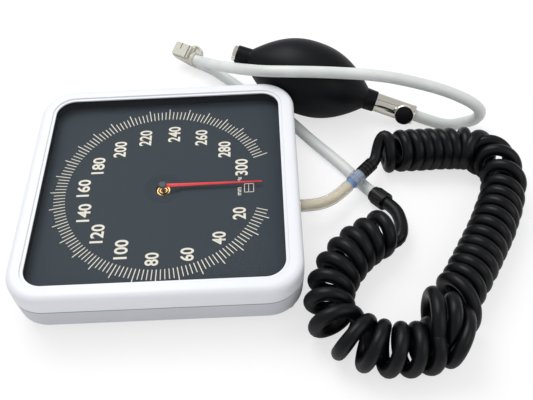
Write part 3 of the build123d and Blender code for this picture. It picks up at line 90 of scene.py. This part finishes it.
GAUGE_HOSE_ROUTE = [
    BARB_OUT, mm(94.7, -9.3, 17.5), mm(103.4, -5.2, 15.6),
    ADAPTER_START - ADAPTER_DIR * 9.5 * MM, ADAPTER_START,
]
CUFF_HOSE_ROUTE = [
    COLLAR_START, COLLAR_START - COLLAR_DIR * 8 * MM,
    *(mm(x, y, LYING) for x, y in (
        (122.6, 26.3), (110.9, 42.6), (97.8, 59.0), (87.0, 74.4), (76.5, 89.5), (62.0, 102.5),
        (49.0, 115.6), (37.4, 128.8))),
    CUFF_START + CONNECTOR_DIR * 11 * MM, CUFF_START,
]
BULB_HOSE_ROUTE = [
    BULB_HOSE_START, BULB_HOSE_START + BULB_DIR * 10.5 * MM,
    *(mm(*xyz) for xyz in (
        (194.4, 68.1, LYING), (206.9, 71.2, 4.1), (212.9, 69.6, 7.4), (215.6, 68.3, 14.6),
        (212.8, 66.5, 21.6), (206.1, 67.6, 27.4), (192.7, 71.0, 33.1), (179.8, 73.1, 37.4),
        (165.4, 74.7, 41.5), (149.8, 76.2, 45.3), (133.9, 77.3, 47.6), (117.1, 77.9, 49.3),
        (99.7, 79.0, 50.3), (81.6, 80.8, 50.2), (66.1, 86.4, 46.6), (54.5, 95.5, 40.8),
        (46.0, 105.2, 34.2), (37.5, 117.2, 25.9), (28.7, 128.2, 19.0), (22.4, 136.6, 14.6))),
    BULB_HOSE_END + CONNECTOR_DIR * 6.5 * MM, BULB_HOSE_END,
]
COIL_ROUTE = [mm(x, y, COIL_Z) for x, y in (
    (148.0, 37.3), (172.0, 37.9), (198.5, 37.2), (214.0, 27.5), (218.5, 10.5), (212.5, -8.0),
    (199.5, -33.5), (187.0, -58.5), (176.0, -81.5), (168.0, -99.0), (150.5, -111.8),
    (128.5, -111.0), (107.0, -103.0), (97.8, -84.0), (102.8, -62.5), (113.0, -46.0),
    (124.2, -37.0), (136.0, -31.5))]


# Materials.

class Shader:
    """A Principled material with a few nodes for variation; every piece gets one."""

    def __init__(self, name, colour, roughness=0.5, metallic=0.0, **sockets):
        self.material = bpy.data.materials.new(name)
        self.material.use_nodes = True
        self.tree = self.material.node_tree
        self.bsdf = self.tree.nodes["Principled BSDF"]
        self.roughness = roughness
        self.set("Base Color", (*colour, 1.0))
        self.set("Roughness", roughness)
        self.set("Metallic", metallic)
        for key, value in sockets.items():
            self.set(key.replace("_", " "), value)
        self.height = None

    def set(self, socket, value):
        self.bsdf.inputs[socket].default_value = value

    def node(self, kind, **inputs):
        made = self.tree.nodes.new(kind)
        for key, value in inputs.items():
            if isinstance(value, bpy.types.NodeSocket):
                self.tree.links.new(value, made.inputs[key])
            else:
                made.inputs[key].default_value = value
        return made

    def place(self):
        """The object's own coordinates, in metres."""
        return self.node("ShaderNodeTexCoord").outputs["Object"]

    def noise(self, scale, detail=3.0):
        made = self.node("ShaderNodeTexNoise", Scale=scale, Detail=detail, Roughness=0.55,
                         Vector=self.place())
        return made.outputs["Fac"]

    def ramp(self, value, low, high, low_to, high_to):
        made = self.node("ShaderNodeMapRange", **{
            "Value": value, "From Min": low, "From Max": high, "To Min": low_to,
            "To Max": high_to})
        return made.outputs["Result"]

    def mix(self, factor, a, b):
        made = self.tree.nodes.new("ShaderNodeMix")
        made.data_type = "RGBA"
        self.tree.links.new(factor, made.inputs["Factor"])
        for key, value in (("A", a), ("B", b)):
            socket = [s for s in made.inputs if s.name == key and s.type == "RGBA"][0]
            if isinstance(value, bpy.types.NodeSocket):
                self.tree.links.new(value, socket)
            else:
                socket.default_value = (*value, 1.0)
        return [s for s in made.outputs if s.type == "RGBA"][0]

    def tint(self, factor, colour, amount=1.0, low=0.45, high=0.75):
        """Blends another colour in where a pattern is high."""
        mask = self.ramp(factor, low, high, 0.0, amount)
        old = self.bsdf.inputs["Base Color"]
        before = old.links[0].from_socket if old.links else tuple(old.default_value)[:3]
        self.tree.links.new(self.mix(mask, before, colour), old)

    def rings(self, pitch, colour):
        """Painted shade: dark rings round the object's own upright axis, standing in for the shade
        in turned grooves.
        """
        flat = self.node("ShaderNodeVectorMath", Vector=self.place())
        flat.operation = "MULTIPLY"
        flat.inputs[1].default_value = (1, 1, 0)
        length = self.node("ShaderNodeVectorMath", Vector=flat.outputs["Vector"])
        length.operation = "LENGTH"
        wave = self.tree.nodes.new("ShaderNodeMath")
        wave.operation = "PINGPONG"
        self.tree.links.new(length.outputs["Value"], wave.inputs[0])
        wave.inputs[1].default_value = pitch
        self.tint(wave.outputs["Value"], colour, 0.95, pitch * 0.4, pitch * 0.55)

    def rough(self, factor, spread):
        """Lets the gloss change with a pattern."""
        made = self.ramp(factor, 0.3, 0.7, self.roughness - spread, self.roughness + spread)
        self.tree.links.new(made, self.bsdf.inputs["Roughness"])

    def bump(self, factor, strength, distance):
        made = self.node("ShaderNodeBump", Strength=strength, Distance=distance, Height=factor)
        if self.height is not None:
            self.tree.links.new(self.height, made.inputs["Normal"])
        self.height = made.outputs["Normal"]
        self.tree.links.new(self.height, self.bsdf.inputs["Normal"])


def moulded(name, colour, roughness, grain=0.25, dirt=None, **sockets):
    """Moulded plastic: a fine grain in the surface and slow changes in its gloss."""
    s = Shader(name, colour, roughness, **sockets)
    slow = s.noise(18.0, 2.0)
    fine = s.noise(2600.0, 2.0)
    s.rough(slow, 0.05)
    s.bump(fine, grain, 0.00004)
    if dirt:
        s.tint(slow, dirt, 0.5)
    return s


def metal(name, colour, roughness):
    """Worked metal: slow changes in its gloss and very fine scratches."""
    s = Shader(name, colour, roughness, 1.0)
    fine = s.noise(900.0, 3.0)
    slow = s.noise(60.0, 2.0)
    s.rough(slow, roughness * 0.3)
    s.bump(fine, 0.1, 0.00002)
    return s


def rubber(name, colour, roughness, grain, scale=1500.0, **sockets):
    """Rubber or soft tube: a fine grain, with slow changes in its colour and gloss."""
    s = Shader(name, colour, roughness, **sockets)
    slow = s.noise(25.0, 3.0)
    fine = s.noise(scale, 2.0)
    s.rough(slow, 0.06)
    s.tint(slow, tuple(c * 1.3 + 0.0005 for c in colour), 0.6)
    s.bump(fine, grain, 0.00005)
    return s


white_case = moulded("white_case", (0.84, 0.86, 0.90), 0.36, 0.12, dirt=(0.80, 0.82, 0.86))
grey_case = moulded("grey_case", (0.60, 0.62, 0.66), 0.48, 0.3, dirt=(0.56, 0.58, 0.62))
dark_plastic = moulded("dark_plastic", (0.020, 0.022, 0.026), 0.5)
black_plastic = moulded("black_plastic", (0.0035, 0.0038, 0.005), 0.28, 0.1,
                        Specular_IOR_Level=0.3)
beige_plastic = moulded("beige_plastic", (0.60, 0.59, 0.51), 0.4, 0.3, dirt=(0.55, 0.53, 0.45))
dial_print = moulded("dial_print", (0.043, 0.057, 0.070), 0.6, 0.12, dirt=(0.052, 0.064, 0.076),
                     Specular_IOR_Level=0.12)
mark_print = moulded("mark_print", (0.88, 0.84, 0.74), 0.6, 0.05, dirt=(0.84, 0.79, 0.68),
                     Specular_IOR_Level=0.2)
red_enamel = moulded("red_enamel", (0.85, 0.020, 0.028), 0.35, 0.05, dirt=(0.75, 0.012, 0.02))
cap_enamel = moulded("cap_enamel", (0.050, 0.060, 0.070), 0.45, 0.1)
bulb_rubber = rubber("bulb_rubber", (0.0022, 0.0027, 0.0040), 0.44, 0.15, 2200.0,
                     Specular_IOR_Level=0.19)
coil_rubber = rubber("coil_rubber", (0.0024, 0.0028, 0.0040), 0.36, 0.08,
                     Specular_IOR_Level=0.24)
white_hose = rubber("white_hose", (0.70, 0.73, 0.715), 0.38, 0.06,
                    Subsurface_Weight=0.15, Subsurface_Scale=0.002)
tan_hose = rubber("tan_hose", (0.94, 0.91, 0.82), 0.22, 0.04,
                  Transmission_Weight=0.7, IOR=1.2)
# painted shade: the dark grey of the band in the groove where the two shells meet
painted_seam_shade = moulded("painted_seam_shade", (0.16, 0.155, 0.19), 0.7)
hose_bore = rubber("hose_bore", (0.80, 0.72, 0.54), 0.5, 0.1)
blue_plastic = moulded("blue_plastic", (0.22, 0.38, 0.66), 0.2, 0.05, Transmission_Weight=0.3,
                       IOR=1.3)
clear_blue = moulded("clear_blue", (0.86, 0.91, 0.98), 0.2, 0.05, Transmission_Weight=0.8,
                     IOR=1.3)
nickel = metal("nickel", (0.86, 0.82, 0.74), 0.12)
brass = metal("brass", (0.46, 0.31, 0.13), 0.46)
turned_brass = metal("turned_brass", (0.66, 0.45, 0.19), 0.36)
# near-black rings of painted shade, standing in for the shade in the bush's turned grooves
turned_brass.rings(0.95 * MM, (0.03, 0.026, 0.02))
steel = metal("steel", (0.62, 0.62, 0.63), 0.28)
copper = metal("copper_alloy", (0.72, 0.58, 0.40), 0.3)
window = Shader("window", (0.02, 0.025, 0.03), 0.38, Alpha=0.03, IOR=1.49)
window.rough(window.noise(30.0), 0.02)

node_materials = {
    white_case: ["bezel"],
    grey_case: ["rear_housing"],
    window: ["lens"],
    dark_plastic: ["window_gasket", "dial_spacer"],
    dial_print: ["dial_plate"],
    red_enamel: ["pointer"],
    cap_enamel: ["pointer_cap"],
    steel: ["case_screws", "base_screws", "movement_screws", "hairspring", "pointer_arbor",
            "sector_arbor", "push_pin", "rocker_shaft", "lift_arm", "push_arm"],
    brass: ["mount_inserts", "movement_base", "gear_plate", "top_plate", "lower_pillars",
            "upper_pillars", "rocker_posts", "hairspring_stud", "capsule_post",
            "air_tube", "sector_gear", "capsule_boss"],
    turned_brass: ["arbor_bush"],
    copper: ["capsule"],
    nickel: ["gauge_barb", "barb_nut", "collar_nipple", "intake_fitting", "intake_cage",
             "check_cage", "valve_barrel", "valve_stem", "knob_rim"],
    blue_plastic: ["hose_adapter"],
    clear_blue: ["lock_collar"],
    black_plastic: ["coil_sleeve", "coil_collar", "knob_disc"],
    beige_plastic: ["connector_body", "connector_latch", "connector_barbs"],
    bulb_rubber: ["bulb", "intake_disc", "check_disc"],
    tan_hose: ["gauge_hose"],
    coil_rubber: ["coil_lead", "coiled_hose", "coil_tail"],
    white_hose: ["cuff_hose", "bulb_hose"],
}
for shader, names in node_materials.items():
    for name in names:
        data = nodes[name].data
        data.materials.clear()
        data.materials.append(shader.material)


# Helpers for pieces.

def add(name, data, shader):
    """A piece of the dressed part, which rides on the root body."""
    piece = bpy.data.objects.new(name, data)
    bpy.context.collection.objects.link(piece)
    data.materials.append(shader.material)
    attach(piece, ROOT)
    return piece


def mesh_of(name, points, faces, crease_deg=35.0):
    data = bpy.data.meshes.new(name)
    data.from_pydata([tuple(p) for p in points], [], faces)
    data.update()
    for polygon in data.polygons:
        polygon.use_smooth = True
    data.set_sharp_from_angle(angle=math.radians(crease_deg))
    return data


def lathe(name, profile, origin, axis, steps, crease_deg):
    """A turned form: (radius, height) corners round an axis."""
    spin = Vector((0, 0, 1)).rotation_difference(axis)
    points, faces = [], []
    for radius, height in profile:
        for k in range(steps):
            angle = 2 * math.pi * k / steps
            here = Vector((radius * math.cos(angle), radius * math.sin(angle), height))
            points.append(origin + spin @ here)
    for low in range(0, len(points) - steps, steps):
        for k in range(steps):
            j = (k + 1) % steps
            faces.append([low + k, low + j, low + steps + j, low + steps + k])
    return mesh_of(name, points, faces, crease_deg)


def nurbs_curve(name, points, radius=0.0, swell=None, detail=8):
    """An order-3 NURBS curve with its ends on its first and last points."""
    data = bpy.data.curves.new(name, "CURVE")
    data.dimensions = "3D"
    data.resolution_u = detail
    spline = data.splines.new("NURBS")
    spline.points.add(len(points) - 1)
    for k, (point, here) in enumerate(zip(spline.points, points)):
        point.co = (*here, 1.0)
        point.radius = swell[k] if swell else 1.0
    spline.order_u = 3
    spline.use_endpoint_u = True
    data.bevel_depth = radius
    data.bevel_resolution = 6 if radius else 0
    data.use_fill_caps = bool(radius)
    return data


def line_of(points, detail):
    """The points of the smooth line that a NURBS curve with these control points follows."""
    piece = bpy.data.objects.new("line", nurbs_curve("line", points, detail=detail))
    data = bpy.data.meshes.new_from_object(piece)
    found = [v.co.copy() for v in data.vertices]
    bpy.data.objects.remove(piece)
    return found


def spaced(points, step):
    """Points evenly spaced along a line."""
    made, travelled, wanted = [points[0].copy()], 0.0, step
    for a, b in zip(points, points[1:]):
        long = (b - a).length
        while wanted <= travelled + long and long > 0:
            made.append(a.lerp(b, (wanted - travelled) / long))
            wanted += step
        travelled += long
    return made


# The dial's print: tick marks, numbers, the zero box and the unit. Lengths in millimetres.

DIAL_TOP = 29.32
PRINT_UP = 0.05
MARK_LOW, MARK_HIGH = 16, 300
MARK_STEP, MARK_MAJOR = 2, 10
DEG_PER_MMHG = -1.127
TICK_INNER, TICK_MINOR, TICK_MAJOR = 61.4, 68.5, 71.2
TICK_MINOR_HALF, TICK_MAJOR_HALF = 0.27, 0.30
LABEL_TALL = 8.1
LABEL_WIDE = {2: 9.4, 3: 14.0}  # by the number of digits
LABEL_BOLD, UNIT_BOLD = 0.022, 0.01
LABELS = {
    20: (47.8, -22.6), 40: (35.7, -40.6), 60: (17.1, -51.5), 80: (-3.4, -53.9),
    100: (-22.1, -45.9), 120: (-37.6, -33.5), 140: (-47.7, -16.9), 160: (-50.4, 3.1),
    180: (-43.2, 21.7), 200: (-30.4, 35.4), 220: (-14.3, 44.7), 240: (4.7, 47.1),
    260: (22.7, 42.9), 280: (38.2, 31.3), 300: (49.3, 15.0),
}
ZERO_BOX = (50.9, 57.0, -6.2, 1.0)
ZERO_LINE = 0.42
ZERO_MIDDLE = (53.5, 53.9)
UNIT_X = 48.0
# the piece's name, its words, its middle's y, how tall and how wide it is
UNITS = (("unit_mm", "mm", -5.1, 2.2, 6.4), ("unit_hg", "Hg", 4.4, 2.8, 4.4))


def flat_bars(name, bars):
    """Thin raised bars on the dial: each is four corners, anticlockwise."""
    points, faces = [], []
    for corners in bars:
        n = len(points)
        count = len(corners)
        points += [mm(x, y, DIAL_TOP) for x, y in corners]
        points += [mm(x, y, DIAL_TOP + PRINT_UP) for x, y in corners]
        faces.append([n + count + k for k in range(count)])
        for k in range(count):
            j = (k + 1) % count
            faces.append([n + k, n + j, n + count + j, n + count + k])
    return mesh_of(name, points, faces)


def tick(angle_deg, low, high, half):
    angle = math.radians(angle_deg)
    out = Vector((math.cos(angle), math.sin(angle)))
    side = Vector((-out.y, out.x)) * half
    return [out * low - side, out * high - side, out * high + side, out * low + side]


def label(name, words, x, y, tall, wide, bold):
    """Printed words whose tops point to -X, centred on a place, of a set height and width."""
    data = bpy.data.curves.new(name, "FONT")
    data.body = words
    data.size = 1.0
    data.offset = bold
    data.extrude = 0.0
    data.resolution_u = 6
    text = bpy.data.objects.new(name, data)
    mesh = bpy.data.meshes.new_from_object(text)
    bpy.data.objects.remove(text)
    low = Vector([min(v.co[i] for v in mesh.vertices) for i in range(2)])
    high = Vector([max(v.co[i] for v in mesh.vertices) for i in range(2)])
    middle, size = (low + high) / 2, high - low
    for vertex in mesh.vertices:
        along = (vertex.co.x - middle.x) / size.x * wide
        up = (vertex.co.y - middle.y) / size.y * tall
        vertex.co = mm(x - up, y + along, DIAL_TOP + PRINT_UP)
    return mesh


def frame_bars(x0, x1, y0, y1, line):
    """The four bars of a rectangle's outline."""
    return [[(a, b), (c, b), (c, d), (a, d)] for a, b, c, d in (
        (x0, y0, x1, y0 + line), (x0, y1 - line, x1, y1),
        (x0, y0, x0 + line, y1), (x1 - line, y0, x1, y1))]


ticks = []
for value in range(MARK_LOW, MARK_HIGH + 1, MARK_STEP):
    major = value % MARK_MAJOR == 0
    ticks.append(tick(DEG_PER_MMHG * value, TICK_INNER, TICK_MAJOR if major else TICK_MINOR,
                      TICK_MAJOR_HALF if major else TICK_MINOR_HALF))
add("dial_marks", flat_bars("dial_marks", ticks), mark_print)

for value, (x, y) in LABELS.items():
    name, words = f"dial_label_{value}", str(value)
    add(name, label(name, words, x, y, LABEL_TALL, LABEL_WIDE[len(words)], LABEL_BOLD),
        mark_print)

zero_bars = frame_bars(*ZERO_BOX, ZERO_LINE)
left, right = ZERO_MIDDLE
low, high = ZERO_BOX[2:]
zero_bars += [[(left, low), (right, low), (right, high), (left, high)]]
add("zero_box", flat_bars("zero_box", zero_bars), mark_print)
for name, words, y, tall, wide in UNITS:
    add(name, label(name, words, UNIT_X, y, tall, wide, UNIT_BOLD), mark_print)


# The seam of the two shells, darkened with painted shade.

PARTING_Z, SEAM_HALF = 25.3, 0.27
SEAM_SIDE, SEAM_CORNER = 84.85, 21.85
CORNER_STEPS = 24


def seam(name):
    """A thin dark band of painted shade, standing in for the shade in the groove where the front
    shell meets the rear one.
    """
    edge = []
    for quarter in range(4):
        start = math.pi / 2 * quarter
        spin = Matrix.Rotation(start, 2)
        for k in range(CORNER_STEPS + 1):
            angle = math.pi / 2 * k / CORNER_STEPS
            corner = Vector((SEAM_SIDE - SEAM_CORNER, SEAM_SIDE - SEAM_CORNER))
            edge.append(spin @ (corner + SEAM_CORNER * Vector((math.cos(angle), math.sin(angle)))))
    points = [mm(x, y, PARTING_Z - SEAM_HALF) for x, y in edge]
    points += [mm(x, y, PARTING_Z + SEAM_HALF) for x, y in edge]
    n = len(edge)
    faces = [[k, (k + 1) % n, n + (k + 1) % n, n + k] for k in range(n)]
    return mesh_of(name, points, faces)


add("shell_seam_shade", seam("shell_seam_shade"), painted_seam_shade)


# The plain hoses.

HOSE_R = 4.0 * MM
HOSE_BORE_R = 2.3 * MM


def hose_piece(name, route, radius, shader):
    return add(name, nurbs_curve(name, route, radius), shader)


gauge_tube = hose_piece("gauge_tube", GAUGE_HOSE_ROUTE, HOSE_R, tan_hose)
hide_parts("gauge_hose")
hose_piece("gauge_bore", GAUGE_HOSE_ROUTE, HOSE_BORE_R, hose_bore)

cuff_tube = hose_piece("cuff_tube", CUFF_HOSE_ROUTE, HOSE_R, white_hose)
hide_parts("cuff_hose")

bulb_tube = hose_piece("bulb_tube", BULB_HOSE_ROUTE, HOSE_R, white_hose)
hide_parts("bulb_hose")


# The coil: a left-handed helix round the smooth line of its route. Each turn has its own lean.

STEPS = 16  # points in a turn
AXIS_STEP = 1.0 * MM
HEADING_REACH = 3 * MM
FIRST_TURN, LAST_TURN = 1.24, 39.30

# a turn, its place along the route, aside and up, its swing and lean in degrees, its radius
COIL_TURNS = [
    (1.0, 3.2, -1.0, 0.0, 14, -2, 10.7), (1.5, 6.4, -1.0, -0.1, 19, -5, 10.7),
    (2.5, 13.3, -1.0, -0.1, 23, -8, 10.8), (3.5, 19.7, -1.1, -0.1, 25, -8, 10.8),
    (4.5, 25.9, -1.0, -0.1, 25, -7, 10.8), (5.5, 32.4, -1.0, 0.0, 26, -5, 10.8),
    (6.5, 38.7, -1.1, -0.2, 25, -4, 10.6), (7.52, 46.4, -0.1, 0.0, 16, -8, 10.8),
    (8.58, 53.4, -0.3, 0.4, -3, 0, 10.7), (9.6, 66.2, -0.4, 0.4, -50, 39, 11.3),
    (10.7, 74.1, 0.8, -0.3, -28, 20, 10.7), (11.75, 87.8, 0.5, -0.4, -12, 14, 10.7),
    (12.75, 100.7, 0.8, -0.6, -6, 14, 10.5), (13.75, 110.2, 1.0, -0.6, -6, 16, 10.6),
    (14.75, 118.8, 0.9, -0.5, -4, 15, 10.7), (15.75, 127.2, 1.1, -0.3, -4, 12, 10.7),
    (16.75, 135.4, 0.7, -0.2, -5, 7, 10.7), (17.75, 143.5, 0.1, -0.1, -4, 3, 10.7),
    (18.75, 151.2, -0.6, -0.1, -4, -1, 10.7), (19.75, 158.9, -1.3, -0.1, -5, -1, 10.7),
    (20.75, 167.1, -2.3, -0.1, -8, 0, 10.7), (21.75, 176.0, -3.3, -0.1, -15, 6, 10.7),
    (22.75, 186.0, -4.4, 0.4, -24, 6, 11.2), (23.85, 210.9, 7.1, 1.0, -62, 10, 12.4),
    (24.92, 207.4, -7.0, 4.0, -43, 10, 15.2), (25.95, 216.9, -9.2, 4.0, -33, 4, 14.6),
    (26.5, 221.8, -0.8, 0.5, -13, 7, 11.6), (26.95, 225.5, 0.4, 0.6, -5, 8, 11.6),
    (27.95, 235.4, 0.2, 0.5, 4, 9, 11.5), (28.95, 245.5, 0.8, 1.0, 4, 8, 12.0),
    (29.95, 256.8, 0.8, 1.2, 0, 6, 12.1), (30.9, 267.4, 0.1, 1.3, -2, 0, 12.1),
    (31.85, 280.9, 1.4, 0.8, 0, -7, 11.7), (32.8, 292.9, 1.3, 0.0, 3, -8, 10.9),
    (33.75, 304.1, 1.0, 0.0, 3, -7, 10.9), (34.75, 315.1, 0.3, 0.4, -3, -4, 11.2),
    (35.75, 326.3, -0.4, 0.5, -2, -5, 11.3), (36.75, 336.2, -0.5, 0.2, 1, -7, 11.1),
    (37.75, 345.9, -0.1, 0.0, 6, -8, 10.9), (38.75, 355.6, 0.8, -0.3, 7, -13, 10.8),
    (39.75, 364.0, 1.6, -0.3, 4, -12, 10.8),
]
# the lead arches over and down, wound the other way, and doubles back behind its turn
LEAD_ARCH = (
    (139.0, 34.0, 18.6), (140.8, 38.6, 22.8), (143.6, 40.8, 26.1), (146.5, 37.8, 26.3),
    (147.7, 31.8, 23.0), (147.6, 27.6, 17.2), (147.4, 27.0, 10.6), (147.5, 29.8, 5.4),
    (147.2, 35.0, 4.1), (146.2, 42.0, LYING), (146.0, 49.0, LYING), (149.0, 54.0, LYING),
    (154.2, 54.2, LYING), (157.2, 49.5, LYING), (156.0, 43.0, LYING))
TAIL_RUN = ((145.4, -34.4, 11.0), (148.2, -25.0, 10.4), (147.8, -15.6, 9.8))
# up to a share of the points, how full the hose is: slimmer where its turns are wound tight
FULLNESS = ((0.22, 0.97), (0.62, 1.0), (1.0, 1.05))

axis_line = spaced(line_of(COIL_ROUTE, 24), AXIS_STEP)


def axis_at(distance):
    """The route's point at a distance; it runs on straight past the ends."""
    k = distance / AXIS_STEP
    low = min(max(int(k), 0), len(axis_line) - 2)
    a, b = axis_line[low], axis_line[low + 1]
    return a + (b - a) * (k - low)


def heading(distance):
    return (axis_at(distance + HEADING_REACH) - axis_at(distance - HEADING_REACH)).normalized()


def turn_at(turn):
    """The coil's facts at any turn, by a smooth curve through the rows of the table."""
    rows = COIL_TURNS
    k = max(i for i, row in enumerate(rows[:-1]) if row[0] <= turn or i == 0)
    near = [rows[min(max(k + i, 0), len(rows) - 1)] for i in (-1, 0, 1, 2)]
    wide = near[2][0] - near[1][0]
    x = (turn - near[1][0]) / wide
    facts = []
    for column in range(1, len(rows[0])):
        a, b, c, d = (row[column] for row in near)
        first = (c - a) / (near[2][0] - near[0][0]) * wide
        last = (d - b) / (near[3][0] - near[1][0]) * wide
        facts.append((2 * x**3 - 3 * x**2 + 1) * b + (x**3 - 2 * x**2 + x) * first
                     + (3 * x**2 - 2 * x**3) * c + (x**3 - x**2) * last)
    return facts


def coil_point(turn):
    along, aside, up, swing, lean, radius = turn_at(turn)
    ahead = heading(along * MM)
    middle = axis_at(along * MM) + Vector((-ahead.y, ahead.x, 0)) * aside * MM
    middle.z += up * MM
    ahead = Matrix.Rotation(math.radians(swing), 3, "Z") @ ahead
    side = Vector((-ahead.y, ahead.x, 0)).normalized()
    lean = math.radians(lean)
    over = Vector((0, 0, 1)) * math.cos(lean) - ahead * math.sin(lean)
    angle = 2 * math.pi * turn
    return middle + (side * math.cos(angle) - over * math.sin(angle)) * radius * MM


count = round((LAST_TURN - FIRST_TURN) * STEPS)
coil_points = [
    SLEEVE_END, SLEEVE_END + ADAPTER_DIR * 3.6 * MM, *(mm(*xyz) for xyz in LEAD_ARCH),
    *(coil_point(FIRST_TURN + k / STEPS) for k in range(count + 1)),
    *(mm(*xyz) for xyz in TAIL_RUN), COLLAR_END + COLLAR_DIR * 8 * MM, COLLAR_END,
]
swell = [next(full for share, full in FULLNESS if k < len(coil_points) * share)
         for k in range(len(coil_points))]
coil = add("coil", nurbs_curve("coil", coil_points, HOSE_R, swell, detail=3), coil_rubber)
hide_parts("coil_lead", "coiled_hose", "coil_tail")


# The bulb. Lengths in millimetres, heights from its intake end.

BULB_R, NECK_R = 26.47, 4.44
BELLY_FROM, BELLY_TO = 7.3, 100.6
FULL_A, FULL_B = 2.28, 1.08
REST_Z = 0.05
INTAKE_COLLAR = (6.4, 6.75, 10.0)  # its radius at the rim and at the belly, and its length
VALVE_COLLAR = (7.65, 7.35, 7.8)  # at the belly, at the rim, and its length
INTAKE_BORE_R, VALVE_BORE_R, VALVE_BORE_DEPTH = 3.3, 6.7, 2.9
RIM_EASE = 0.5
COLLAR_STEPS, BELLY_STEPS, BULB_STEPS = 6, 60, 128
BULB_CREASE = 50.0


def belly(s):
    share = (s - BELLY_FROM) / (BELLY_TO - BELLY_FROM)
    full = max(0.0, 1 - abs(2 * share - 1) ** FULL_A)
    return NECK_R + (BULB_R - NECK_R) * full ** FULL_B


def collar(low, high, start, length, first=0):
    """The profile of a collar whose radius changes evenly over its length."""
    return [(low + (high - low) * k / COLLAR_STEPS, start + length * k / COLLAR_STEPS)
            for k in range(first, COLLAR_STEPS + 1)]


intake_r, intake_belly_r, intake_long = INTAKE_COLLAR
valve_belly_r, valve_r, valve_long = VALVE_COLLAR
long = BULB_LENGTH / MM
end = long - valve_long
profile = [(INTAKE_BORE_R, 0.0), (intake_r - RIM_EASE, 0.0), (intake_r - 0.1, 0.15),
           (intake_r, 0.6)]
profile += collar(intake_r, intake_belly_r, 0.6, intake_long - 0.9, first=1)
for k in range(BELLY_STEPS + 1):
    s = intake_long + (end - intake_long) * (1 - math.cos(math.pi * k / BELLY_STEPS)) / 2
    profile.append((belly(s), s))
profile += collar(valve_belly_r, valve_r, end + 0.3, valve_long - 1.0)
profile += [(valve_r - 0.1, long - 0.15), (valve_r - RIM_EASE, long),
            (VALVE_BORE_R, long), (VALVE_BORE_R, long - VALVE_BORE_DEPTH)]
bulb_mesh = lathe("squeeze_bulb", [(r * MM, h * MM) for r, h in profile], BULB_INTAKE, BULB_DIR,
                  BULB_STEPS, BULB_CREASE)
# the soft belly lies flat where it rests on the table
for vertex in bulb_mesh.vertices:
    vertex.co.z = max(vertex.co.z, REST_Z * MM)
bulb = add("squeeze_bulb", bulb_mesh, bulb_rubber)
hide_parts("bulb")


# The floor, the backdrop and the lamps.

FLOOR_HALF = 6
FLOOR_BOUNCE, FLOOR_SEEN, FLOOR_GLOW = (0.86, 0.86, 0.87), (0.36, 0.36, 0.37), 0.66
SKY_LIGHT, SKY_MIRRORED, SKY_SEEN = 0.60, 0.50, 1.0
WHITE = (1.0, 1.0, 1.0, 1.0)
# a lamp's name, its place, what it points at, its side and its power
LAMPS = (("key", (-0.30, 0.50, 1.1), (0.08, 0.0, 0.0), 0.8, 8.0),
         ("fill", (0.9, -0.5, 0.9), (0.1, 0.0, 0.0), 0.9, 2.6))


def floor_material():
    """Matte white; the camera sees its shadows softened by a glow of its own."""
    shader = Shader("floor", FLOOR_BOUNCE, 0.9, Specular_IOR_Level=0.0)
    seen_ray = shader.node("ShaderNodeLightPath").outputs["Is Camera Ray"]
    seen = shader.mix(seen_ray, FLOOR_BOUNCE, FLOOR_SEEN)
    shader.tree.links.new(seen, shader.bsdf.inputs["Base Color"])
    shader.set("Emission Color", WHITE)
    glow = shader.ramp(seen_ray, 0.0, 1.0, 0.0, FLOOR_GLOW)
    shader.tree.links.new(glow, shader.bsdf.inputs["Emission Strength"])
    return shader.material


def world_step(ray_kind, before, after):
    """The backdrop's strength for one kind of ray, on top of its strength before."""
    made = world.node_tree.nodes.new("ShaderNodeMapRange")
    world.node_tree.links.new(rays.outputs[ray_kind], made.inputs["Value"])
    if isinstance(before, bpy.types.NodeSocket):
        world.node_tree.links.new(before, made.inputs["To Min"])
    else:
        made.inputs["To Min"].default_value = before
    made.inputs["To Max"].default_value = after
    return made.outputs["Result"]


def soft_box(name, at, towards, side, power):
    light = bpy.data.lights.new(name, "AREA")
    light.shape = "RECTANGLE"
    light.size = light.size_y = side
    light.energy = power
    made = bpy.data.objects.new(name, light)
    made.location = at
    made.rotation_euler = (Vector(towards) - Vector(at)).to_track_quat("-Z", "Y").to_euler()
    bpy.context.collection.objects.link(made)


floor = bpy.data.objects.new("floor", bpy.data.meshes.new("floor"))
floor.data.from_pydata([(x * FLOOR_HALF, y * FLOOR_HALF, 0)
                        for x, y in ((-1, -1), (1, -1), (1, 1), (-1, 1))], [], [(0, 1, 2, 3)])
floor.data.materials.append(floor_material())
bpy.context.collection.objects.link(floor)

world = bpy.data.worlds.new("studio")
bpy.context.scene.world = world
world.use_nodes = True
background = world.node_tree.nodes["Background"]
rays = world.node_tree.nodes.new("ShaderNodeLightPath")
strength = world_step("Is Camera Ray", world_step("Is Glossy Ray", SKY_LIGHT, SKY_MIRRORED),
                      SKY_SEEN)
world.node_tree.links.new(strength, background.inputs["Strength"])
background.inputs["Color"].default_value = WHITE

for lamp in LAMPS:
    soft_box(*lamp)

bpy.context.scene.view_settings.view_transform = "Standard"
bpy.context.view_layer.update()
